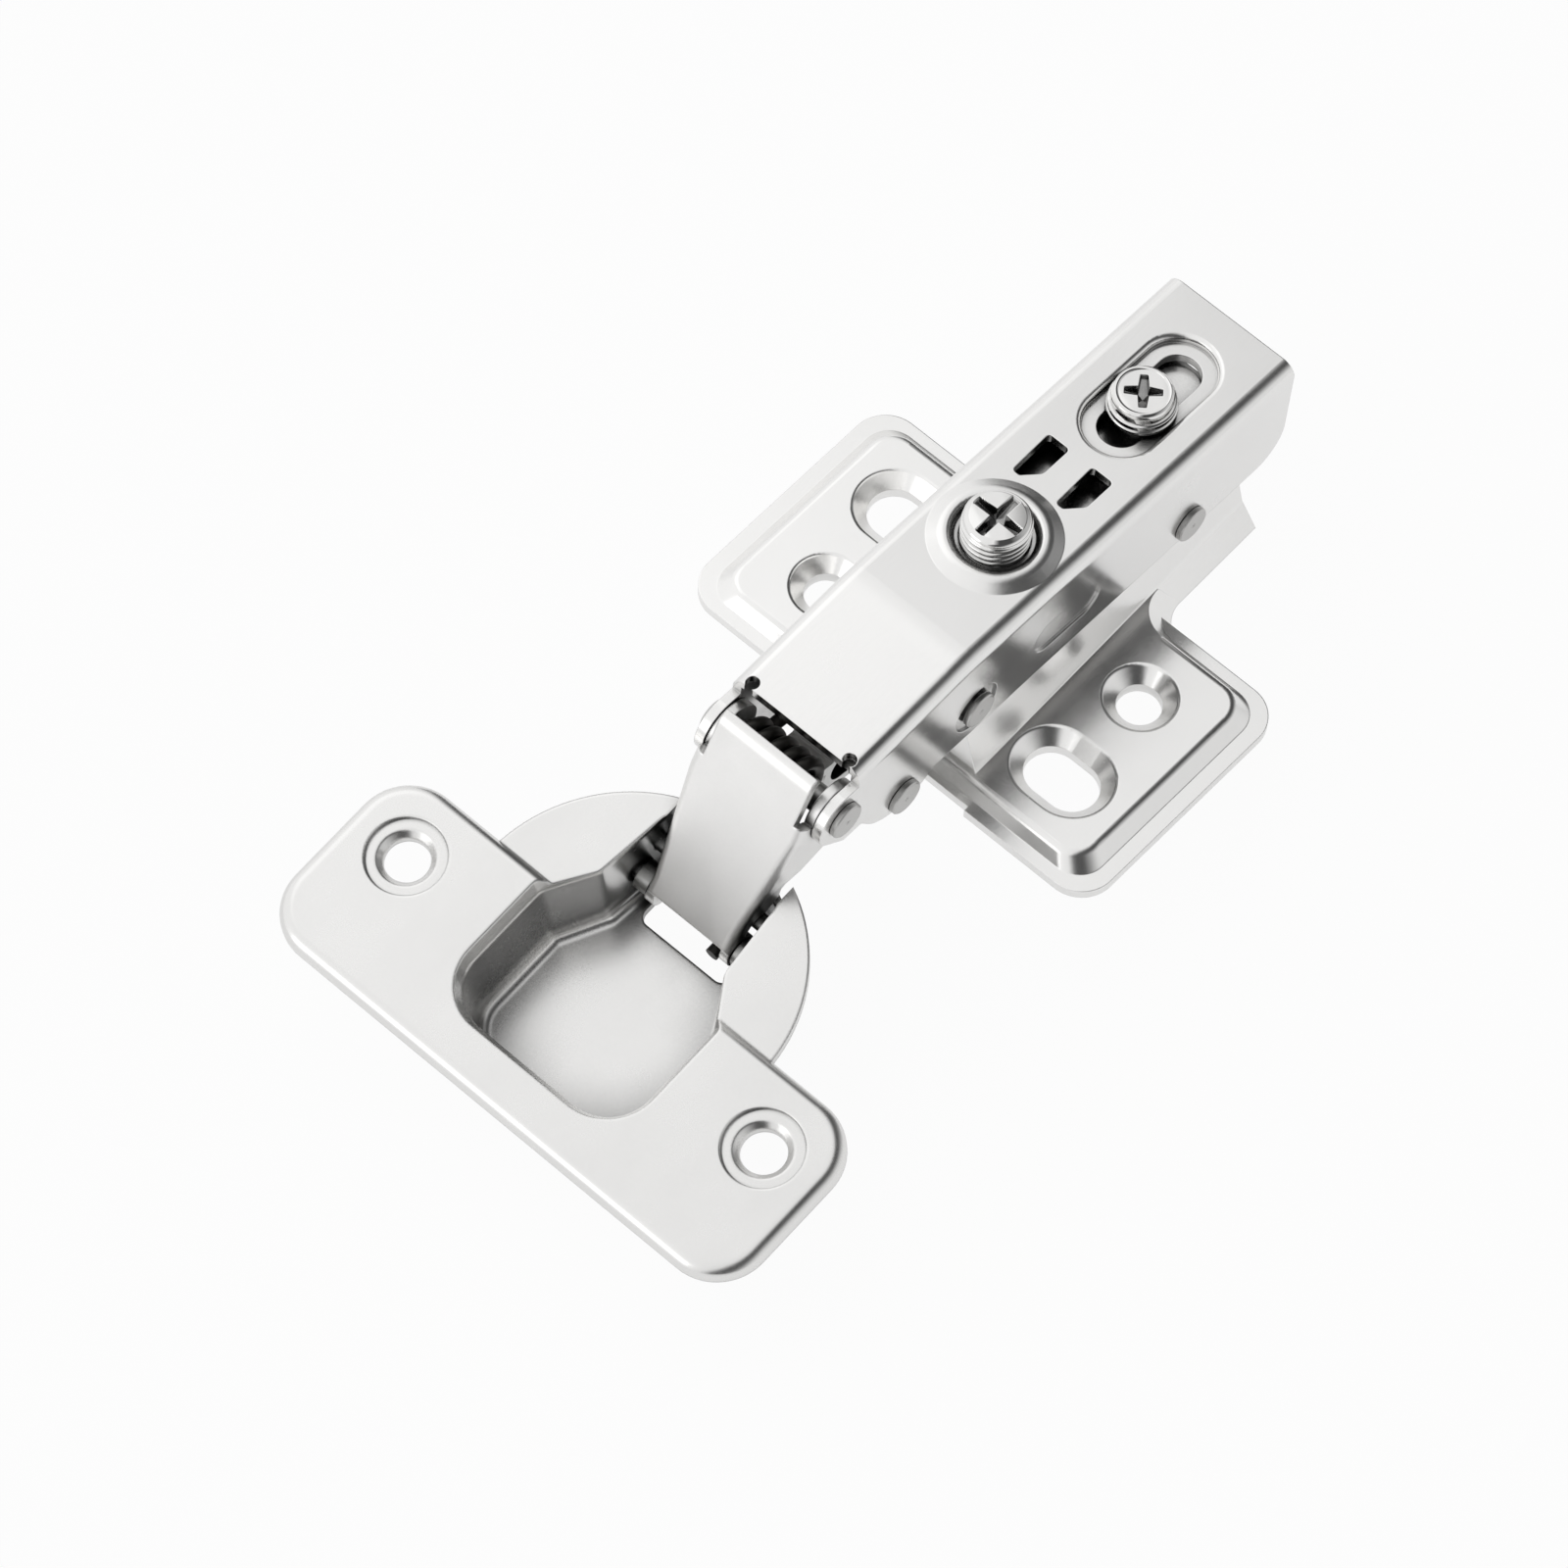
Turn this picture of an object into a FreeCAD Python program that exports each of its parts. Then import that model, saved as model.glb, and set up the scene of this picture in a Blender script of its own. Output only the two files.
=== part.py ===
"""Concealed cabinet hinge: screw-on cup, four-bar links, slide-on arm and wing base plate.

X is the direction of the hinge pins, Y runs along the arm towards its rear and Z stands
up from the cabinet side. The origin is on the mounting face of the base plate, midway
between its four screw holes. The door cup stands open as it leaves the factory tray.
All lengths are millimetres and all angles are degrees.
"""
import FreeCAD
import Part
import math
import os
import Sketcher
from FreeCAD import Placement, Rotation, Vector

SIZES = {
    # Sheet, pins and running gaps.
    "sheet": 1.1,
    "running_gap": 0.05,
    "seat_gap": 0.1,
    "rivet_radius": 1.5,
    "rivet_head_radius": 2.05,
    "rivet_head_height": 0.65,
    "outer_pin_radius": 1.05,
    "inner_pin_radius": 0.95,
    # Base plate.
    "plate_sheet": 1.2,
    "wing_half_span": 27.4,
    "wing_half_depth": 15.5,
    "wing_corner": 4.0,
    "panel_height": 2.8,
    "panel_half_span": 24.1,
    "panel_half_depth": 13.0,
    "panel_corner": 3.0,
    "panel_edge": 1.0,
    "gusset_radius": 4.0,
    "screw_hole_x": 16.0,
    "screw_hole_y": 6.0,
    "screw_hole_radius": 2.4,
    "screw_slot_radius": 3.0,
    "screw_slot_travel": 2.5,
    "countersink": 1.55,
    "riser_half_width": 6.9,
    "riser_height": 19.2,
    "riser_front": 12.3,
    "riser_brow": 9.0,
    "riser_rear": 31.0,
    "riser_corner": 1.6,
    "neck_slot_half_width": 2.4,
    "neck_slot_end": 5.2,
    # Arm, in its own frame: top face at zero height, side screw at zero length.
    "arm_rise": 3.83,
    "arm_tilt": 2.25,
    "arm_half_width": 8.4,
    "arm_depth": 14.3,
    "arm_rear": 36.9,
    "arm_corner": 1.65,
    "arm_rear_corner": 4.0,
    "nose_crease": 13.6,
    "crease_bow": 1.6,
    "nose_back": 1.98,
    "nose_drop": 1.9,
    "ear_radius": 3.45,
    "outer_pivot_reach": 31.43,
    "outer_pivot_drop": 7.57,
    "inner_pivot_back": 9.57,
    "inner_pivot_drop": 14.2,
    "stop_rivet_reach": 11.1,
    "stop_rivet_drop": 10.1,
    "tie_rivet_back": 22.0,
    "tie_rivet_drop": 12.2,
    "dish_radius": 7.2,
    "dish_height": 0.7,
    "recess_depth": 1.0,
    "recess_radius": 4.0,
    "clamp_slot_radius": 2.45,
    "side_dimple_depth": 0.25,
    # Travel of the arm on the base plate.
    "slide_forward": 5.5,
    "slide_back": 2.8,
    "tilt_travel": 1.4,
    # Screws.
    "side_screw_radius": 3.65,
    "side_screw_top": 3.85,
    "side_screw_neck": 2.2,
    "side_screw_foot": 3.3,
    "side_screw_lift": 0.6,
    "clamp_screw_back": 22.6,
    "clamp_head_radius": 3.55,
    "clamp_head_height": 2.3,
    "clamp_shank_radius": 2.0,
    "recess_cross_length": 4.6,
    "recess_cross_width": 1.05,
    "recess_cross_depth": 1.5,
    # Door cup, in its own frame: flange top at zero height, cup centre at zero.
    "cup_angle": 8.6,
    "cup_reach": 22.85,
    "cup_drop": 11.66,
    "flange_half_span": 31.48,
    "flange_front": 20.4,
    "flange_back": 1.6,
    "flange_corner": 6.0,
    "flange_rim": 1.9,
    "flange_bevel": 1.4,
    "flange_sheet": 1.1,
    "flange_hole_margin": 7.48,
    "flange_hole_y": 6.0,
    "flange_hole_radius": 2.4,
    "flange_recess_radius": 4.25,
    "flange_recess_depth": 0.45,
    "flange_countersink": 0.7,
    "disc_radius": 18.36,
    "disc_drop": 0.8,
    "cup_radius": 17.5,
    "skirt_depth": 4.2,
    "pocket_depth": 11.6,
    "pocket_half_width": 12.4,
    "pocket_front": 15.2,
    "pocket_corner": 6.0,
    "pocket_lip": 0.8,
    "pocket_lip_depth": 1.4,
    "pocket_lip_bend": 1.2,
    "pocket_floor_bend": 1.2,
    "pocket_side_end": 0.5,
    "throat_half_width": 8.5,
    "throat_start": 5.8,
    "throat_end": 16.9,
    "throat_end_half_width": 7.6,
    "pocket_draft": 0.8,
    "throat_notch_half_width": 7.4,
    "throat_notch_depth": 4.4,
    "window_half_width": 5.8,
    "window_start": 7.1,
    "window_end": 15.4,
    "outer_pin_y": 10.2,
    "outer_pin_depth": 7.9,
    "inner_pin_y": 13.2,
    "inner_pin_depth": 5.5,
    # Outer link, in its own frame: arm pivot at zero, web upright.
    "web_reach": 5.0,
    "link_half_width": 7.2,
    "link_foot_half_width": 5.6,
    "link_ear_radius": 3.3,
    "link_foot_radius": 1.95,
    "web_foot_rise": 0.5,
    "web_top": 3.2,
    "lip_half_width": 6.0,
    "lip_rise": 1.7,
    # Inner link.
    "inner_link_left": 3.5,
    "inner_link_right": 1.9,
    "inner_link_sheet": 1.2,
    "inner_eye_radius": 1.85,
    "slot_wall": 1.0,
    "open_pivot_along": -1.42,
    "open_pivot_rise": 0.83,
    "open_pivot_gap": 0.4,
    # Spacer bushes on the outer cup pin.
    "bush_radius": 1.7,
    "bush_length": 1.7,
    # Screw threads and washer.
    "thread_pitch": 0.8,
    "thread_depth": 0.4,
    "washer_radius": 3.7,
    "washer_thickness": 0.6,
    "clamp_rise": 2.5,
    "clamp_screw_grip": 9.3,
    # Closing spring.
    "wire_radius": 0.75,
    "coil_pitch": 1.65,
    "coil_turns": 5.0,
    "coil_radius": 2.45,
    "coil_start": -5.1,
}

document = FreeCAD.newDocument("cabinet_hinge")
sheet = document.addObject("Spreadsheet::Sheet", "sizes")
for row, (alias, value) in enumerate(SIZES.items(), start=1):
    sheet.set(f"A{row}", alias)
    sheet.set(f"B{row}", str(value))
    sheet.setAlias(f"B{row}", alias)
document.recompute()

X_AXIS = Vector(1, 0, 0)
FULL_TURN = 360
pieces = []


def size(name):
    """Return the value of a named cell of the sheet."""
    return float(sheet.get(name))


def around(centre, radius, degrees):
    """Return the point of a circle at an angle from the first axis."""
    turn = math.radians(degrees)
    return centre[0] + radius * math.cos(turn), centre[1] + radius * math.sin(turn)


def point(place):
    """Return a flat pair as a sketch point."""
    return Vector(place[0], place[1], 0)


def path(start, *steps):
    """Return the edges of a closed outline of straight steps and (middle, end) arcs."""
    edges = []
    here = start
    for step in steps + (start,):
        if isinstance(step[0], tuple):
            edges.append(Part.Arc(point(here), point(step[0]), point(step[1])))
            here = step[1]
        elif point(here).distanceToPoint(point(step)) > 1e-6:
            edges.append(Part.LineSegment(point(here), point(step)))
            here = step
    return edges


def rounded(*corners):
    """Return the edges of a closed outline whose corners are (across, up, radius)."""
    bends = []
    for index, (across, up, radius) in enumerate(corners):
        corner = Vector(across, up, 0)
        if not radius:
            bends.append((corner, None, corner))
            continue
        before = (point(corners[index - 1]) - corner).normalize()
        after = (point(corners[(index + 1) % len(corners)]) - corner).normalize()
        half_angle = before.getAngle(after) / 2
        inward = (before + after).normalize()
        centre = corner + inward * (radius / math.sin(half_angle))
        reach = radius / math.tan(half_angle)
        bends.append((corner + before * reach, centre - inward * radius, corner + after * reach))
    edges = []
    for index, (start, middle, end) in enumerate(bends):
        if middle:
            edges.append(Part.Arc(start, middle, end))
        following = bends[(index + 1) % len(bends)][0]
        if end.distanceToPoint(following) > 1e-6:
            edges.append(Part.LineSegment(end, following))
    return edges


def box_edges(left, right, bottom, top, radius=0):
    """Return the edges of an upright rectangle with one corner radius."""
    return rounded((left, bottom, radius), (right, bottom, radius), (right, top, radius), (left, top, radius))


def slot_edges(start, end, radius):
    """Return the edges of a round-ended slot between two centres."""
    along = (point(end) - point(start)).normalize()
    side = Vector(-along.y, along.x, 0) * radius
    first = point(start)
    last = point(end)
    tip = along * radius
    return [
        Part.LineSegment(first + side, last + side),
        Part.Arc(last + side, last + tip, last - side),
        Part.LineSegment(last - side, first - side),
        Part.Arc(first - side, first - tip, first + side),
    ]


def start_piece(label, place=None):
    """Start a sub-part and keep it for the export."""
    piece = document.addObject("PartDesign::Body", label)
    piece.Label = label
    if place:
        piece.Placement = place
    pieces.append(piece)
    return piece


def sketch(piece, plane, name, edges, offset=None):
    """Draw edges on an origin plane of a piece, shifted along its normal by an expression."""
    drawing = piece.newObject("Sketcher::SketchObject", f"{piece.Label}_{name}")
    base = next(feature for feature in piece.Origin.OriginFeatures if feature.Role == plane)
    drawing.AttachmentSupport = [(base, "")]
    drawing.MapMode = "FlatFace"
    drawing.addGeometry(edges, False)
    if offset:
        drawing.setExpression("AttachmentOffset.Base.z", offset)
    drawing.Visibility = False
    return drawing


def circles(piece, plane, name, centres, radius, offset=None):
    """Draw equal circles whose radius is an expression of the sheet."""
    drawing = sketch(piece, plane, name, [], offset)
    for index, centre in enumerate(centres):
        drawing.addGeometry(Part.Circle(point(centre), Vector(0, 0, 1), 1.0))
        drawing.addConstraint(Sketcher.Constraint("Radius", index, 1.0))
        drawing.setExpression(f"Constraints[{index}]", radius)
    return drawing


def finish(piece, feature, adds):
    """Recompute a feature and check that it added or removed material."""
    before = feature.BaseFeature.Shape.Volume if feature.BaseFeature else 0.0
    document.recompute()
    change = feature.Shape.Volume - before
    if change * (1 if adds else -1) <= 0:
        raise RuntimeError(f"{feature.Name} changed the volume by {change:.3f}")
    piece.Tip = feature
    return feature


def pad(piece, drawing, length, both=False, flip=False):
    """Add a sketch's outline as a solid of some length."""
    feature = piece.newObject("PartDesign::Pad", f"{drawing.Name}_pad")
    feature.Profile = drawing
    feature.SideType = "Symmetric" if both else "One side"
    feature.Reversed = flip
    feature.setExpression("Length", length)
    return finish(piece, feature, True)


def pocket(piece, drawing, length=None, both=False, flip=False):
    """Cut a sketch's outline out of a piece, through everything when no length is given."""
    feature = piece.newObject("PartDesign::Pocket", f"{drawing.Name}_pocket")
    feature.Profile = drawing
    feature.SideType = "Symmetric" if both else "One side"
    feature.Reversed = flip
    if length:
        feature.setExpression("Length", length)
    else:
        feature.Type = "ThroughAll"
    return finish(piece, feature, False)


def loft(piece, first, last, adds=True):
    """Join or cut the ruled loft between two drawings."""
    kind = "PartDesign::AdditiveLoft" if adds else "PartDesign::SubtractiveLoft"
    feature = piece.newObject(kind, f"{first.Name}_loft")
    feature.Profile = first
    feature.Sections = [last]
    feature.Ruled = True
    return finish(piece, feature, adds)


def turned(piece, name, edges, axis):
    """Add a profile turned about the sketch's H_Axis or V_Axis."""
    drawing = sketch(piece, "XZ_Plane", name, edges)
    feature = piece.newObject("PartDesign::Revolution", f"{drawing.Name}_turn")
    feature.Profile = drawing
    feature.ReferenceAxis = (drawing, [axis])
    feature.Angle = FULL_TURN
    return finish(piece, feature, True)


def soften(piece, name, radius, choose, kind="PartDesign::Fillet"):
    """Round or bevel the edges of a piece that a test picks."""
    base = piece.Tip
    names = [f"Edge{index}" for index, edge in enumerate(base.Shape.Edges, start=1) if choose(edge)]
    if not names:
        raise RuntimeError(f"{piece.Label} has no edge for {name}")
    feature = piece.newObject(kind, f"{piece.Label}_{name}")
    feature.Base = (base, names)
    feature.setExpression("Radius" if kind == "PartDesign::Fillet" else "Size", radius)
    document.recompute()
    piece.Tip = feature
    return feature


def flat_at(edge, **wanted):
    """Tell whether every point of an edge has the given coordinates."""
    box = edge.BoundBox
    spans = {"x": (box.XMin, box.XMax), "y": (box.YMin, box.YMax), "z": (box.ZMin, box.ZMax)}
    return all(abs(low - value) < 1e-3 and abs(high - value) < 1e-3
               for low, high, value in (spans[axis] + (value,) for axis, value in wanted.items()))


# Places of the sub-assemblies and pivots.
arm_height = size("riser_height") + size("arm_rise")
cup_y = -size("outer_pivot_reach") - size("cup_reach")
cup_z = size("riser_height") - size("cup_drop")
clamp_seat = size("riser_height") + size("clamp_rise")
arm_place = Placement(Vector(0, 0, arm_height), Rotation(X_AXIS, -size("arm_tilt")))
cup_place = Placement(Vector(0, cup_y, cup_z), Rotation(X_AXIS, size("cup_angle")))
outer_pivot = (-size("outer_pivot_reach"), -size("outer_pivot_drop"))
inner_pivot = (size("inner_pivot_back") - size("outer_pivot_reach"), -size("inner_pivot_drop"))
stop_rivet = (-size("stop_rivet_reach"), -size("stop_rivet_drop"))
tie_rivet = (size("tie_rivet_back"), -size("tie_rivet_drop"))
outer_pin = (size("outer_pin_y"), -size("outer_pin_depth"))
inner_pin = (size("inner_pin_y"), -size("inner_pin_depth"))


def in_world(place, pair):
    """Return a (y, z) pair of a sub-assembly's side view as a point of the hinge."""
    return place.multVec(Vector(0, pair[0], pair[1]))


def lean(vector):
    """Return the angle of a vector in the side view, from +Y towards +Z."""
    return math.degrees(math.atan2(vector.z, vector.y))


pivot_a = in_world(arm_place, outer_pivot)
pivot_b = in_world(arm_place, inner_pivot)
pivot_c = in_world(cup_place, outer_pin)
pivot_d = in_world(cup_place, inner_pin)
outer_length = pivot_a.distanceToPoint(pivot_c)
inner_length = pivot_b.distanceToPoint(pivot_d)


def riser_section(foot, knee, inset):
    """Return the flared hat section of the riser, drawn inwards by a sheet's thickness."""
    wall = size("riser_half_width") - inset
    top = size("riser_height") - inset
    bend = size("riser_corner") - inset if inset < size("riser_corner") else 0.3
    right = ((foot - 1.2 * inset, 0, 0), (knee - 1.1 * inset, 3.0 - 0.5 * inset, 1.5),
             (wall, 8.0 - 0.3 * inset, 4.0), (wall, top, bend))
    left = tuple((-across, up, radius) for across, up, radius in reversed(right))
    return rounded(*(right + left))


def gusset(base, side, foot_depth, panel_depth):
    """Join a wing's rear edge to the riser's foot by a hollow curved web."""
    name = "right" if side > 0 else "left"
    radius = size("gusset_radius")
    panel = size("panel_height")
    tuck = 1.5

    def web(across, along):
        return path((side * (across - tuck), along - tuck), (side * (across + radius), along - tuck),
                    (side * (across + radius), along),
                    ((side * (across + 0.293 * radius), along + 0.293 * radius),
                     (side * across, along + radius)),
                    (side * (across - tuck), along + radius))

    foot = sketch(base, "XY_Plane", f"gusset_foot_{name}", web(10.6, foot_depth))
    top = sketch(base, "XY_Plane", f"gusset_top_{name}", web(8.9, panel_depth), "sizes.panel_height")
    loft(base, foot, top)


def make_base_plate():
    """Build the pressed wing plate with its raised panel and the riser that the arm grips."""
    base = start_piece("base_plate")
    gauge = size("plate_sheet")
    span = size("wing_half_span")
    depth = size("wing_half_depth")
    corner = size("wing_corner")
    rim = sketch(base, "XY_Plane", "rim", box_edges(-span, span, -depth, depth, corner))
    pad(base, rim, "sizes.plate_sheet")
    foot_inset = 0.6
    panel_span = size("panel_half_span")
    panel_depth = size("panel_half_depth")
    panel_corner = size("panel_corner")
    foot_span = span - foot_inset
    foot_depth = depth - foot_inset
    foot = sketch(base, "XY_Plane", "panel_foot",
                  box_edges(-foot_span, foot_span, -foot_depth, foot_depth, corner - foot_inset))
    top = sketch(base, "XY_Plane", "panel_top",
                 box_edges(-panel_span, panel_span, -panel_depth, panel_depth,
                           panel_corner), "sizes.panel_height")
    loft(base, foot, top)
    panel = size("panel_height")
    soften(base, "panel_edge", "sizes.panel_edge", lambda edge: flat_at(edge, z=panel))

    foot_flare = 11.2
    rear_flare = 10.4
    front_knee = 9.7
    rear_knee = 8.2
    front = sketch(base, "XZ_Plane", "riser_front", riser_section(foot_flare, front_knee, 0),
                   "sizes.riser_front")
    rear = sketch(base, "XZ_Plane", "riser_rear", riser_section(rear_flare, rear_knee, 0), "-sizes.riser_rear")
    loft(base, front, rear)
    brow = -size("riser_brow")
    toe = -size("riser_front")
    height = size("riser_height")
    above = height + 5
    slope = sketch(base, "YZ_Plane", "riser_slope",
                   rounded((toe - 5, panel, 0), (toe, panel, 0), (brow, height, 1.2), (brow + 0.5, above, 0),
                           (toe - 5, above, 0)))
    pocket(base, slope, both=True)

    wall_foot = foot_inset + 1.2 * gauge
    under_foot = sketch(base, "XY_Plane", "panel_under_foot",
                        box_edges(-span + wall_foot, span - wall_foot, -depth + wall_foot, depth - wall_foot,
                                  corner - wall_foot))
    for side in (-1, 1):
        gusset(base, side, foot_depth, panel_depth)
    inner_span = panel_span - 0.4 * gauge
    inner_depth = panel_depth - 0.4 * gauge
    under_top = sketch(base, "XY_Plane", "panel_under_top",
                       box_edges(-inner_span, inner_span, -inner_depth, inner_depth,
                                 panel_corner - 0.4 * gauge),
                       "sizes.panel_height - sizes.plate_sheet")
    loft(base, under_foot, under_top, adds=False)
    hollow_front = sketch(base, "XZ_Plane", "hollow_front", riser_section(foot_flare, front_knee, gauge),
                          "sizes.riser_brow - sizes.plate_sheet")
    hollow_rear = sketch(base, "XZ_Plane", "hollow_rear", riser_section(rear_flare, rear_knee, gauge),
                         "-sizes.riser_rear - 0.1")
    loft(base, hollow_front, hollow_rear, adds=False)
    run = (brow - toe) / (height - panel)
    inner_toe = toe + gauge * math.hypot(1, run)
    ceiling = height - gauge
    hollow_back = brow + gauge + 0.1
    wedge = sketch(base, "YZ_Plane", "hollow_slope",
                   rounded((inner_toe, panel, 0), (inner_toe - 0.4, -1, 0), (hollow_back, -1, 0),
                           (hollow_back, ceiling, 0), (inner_toe + run * (ceiling - panel), ceiling, 0)))
    pocket(base, wedge, "2 * (sizes.riser_half_width - sizes.plate_sheet)", both=True)

    holes_x = size("screw_hole_x")
    holes_y = size("screw_hole_y")
    round_holes = ((holes_x, holes_y), (-holes_x, -holes_y))
    slots = ((holes_x, -holes_y), (-holes_x, holes_y))
    bosses = circles(base, "XY_Plane", "screw_boss", round_holes,
                     "sizes.screw_hole_radius + 2 * sizes.plate_sheet")
    pad(base, bosses, "sizes.panel_height")
    travel = size("screw_slot_travel") / 2
    slot_radius = size("screw_slot_radius")
    for name, radius, adds in (("slot_boss", slot_radius + 1.5 * gauge, True), ("slot", slot_radius, False)):
        edges = []
        for across, along in slots:
            edges += slot_edges((across - travel, along), (across + travel, along), radius)
        drawing = sketch(base, "XY_Plane", name, edges)
        if adds:
            pad(base, drawing, "sizes.panel_height")
        else:
            pocket(base, drawing, flip=True)
    screw_holes = circles(base, "XY_Plane", "screw_hole", round_holes, "sizes.screw_hole_radius")
    pocket(base, screw_holes, flip=True)
    reach = max(size("screw_hole_radius"), slot_radius)

    def rims_a_hole(edge):
        centre = edge.BoundBox.Center
        near = any(abs(centre.x - x) < reach + travel and abs(centre.y - y) < reach + 0.1
                   for x, y in round_holes + slots)
        return near and flat_at(edge, z=panel) and edge.BoundBox.DiagonalLength < 4.5 * reach

    soften(base, "countersink", "sizes.countersink", rims_a_hole, "PartDesign::Chamfer")
    mouth = reach + travel + size("countersink") + 0.1

    def rims_a_countersink(edge):
        box = edge.BoundBox
        near = any(abs(box.Center.x - x) < mouth and abs(box.Center.y - y) < mouth for x,
                   y in round_holes + slots)
        return near and flat_at(edge, z=panel) and box.DiagonalLength < 3 * mouth

    soften(base, "hole_edge", "0.3 * sizes.countersink", rims_a_countersink)
    step = sketch(base, "XY_Plane", "rim_step",
                  box_edges(-foot_flare, foot_flare, -depth - 1, -foot_depth - 0.01))
    pocket(base, step, flip=True)

    neck = size("neck_slot_half_width")
    neck_slot = sketch(base, "XY_Plane", "neck_slot",
                       slot_edges((0, toe - 5), (0, size("neck_slot_end") - neck),
                                  neck), "sizes.riser_height + 1")
    pocket(base, neck_slot, "sizes.plate_sheet + 1.5")
    foot_gate = sketch(base, "XZ_Plane", "foot_gate",
                       box_edges(-size("side_screw_foot") - 0.4, size("side_screw_foot") + 0.4, height - 4.0,
                                 height - gauge), "sizes.riser_front")
    pocket(base, foot_gate, "sizes.riser_front - 0.6 * sizes.riser_brow")
    collar = circles(base, "XY_Plane", "thread_collar", [(0, size("clamp_screw_back"))],
                     "sizes.clamp_shank_radius + sizes.plate_sheet", "sizes.riser_height - 3 * sizes.plate_sheet")
    pad(base, collar, "2.5 * sizes.plate_sheet")
    thread = circles(base, "XY_Plane", "thread", [(0, size("clamp_screw_back"))],
                     "sizes.clamp_shank_radius + sizes.running_gap", "sizes.riser_height + 1")
    pocket(base, thread, "8")
    tie = in_world(arm_place, tie_rivet)
    guide_radius = size("rivet_radius") + size("seat_gap")
    guide_start = tie.y - size("slide_forward") - size("seat_gap")
    stop = in_world(arm_place, stop_rivet)
    swing = (tie.y - stop.y) * math.radians(size("tilt_travel"))
    reach_back = stop.y + size("slide_back") + size("rivet_radius") + 1.5 * size("seat_gap")
    half_gap = size("rivet_radius") + swing + size("seat_gap")
    gate = sketch(base, "YZ_Plane", "stop_gate",
                  rounded((toe - 5, stop.z - half_gap - 1.8, 0), (reach_back, stop.z - half_gap - 1.8, 1.0),
                          (reach_back, stop.z + half_gap, 1.0), (toe - 5, stop.z + half_gap, 0)))
    pocket(base, gate, both=True)
    guide = sketch(base, "YZ_Plane", "tie_guide",
                   slot_edges((guide_start, tie.z), (size("riser_rear") + 5, tie.z), guide_radius))
    pocket(base, guide, both=True)
    return base


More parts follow.
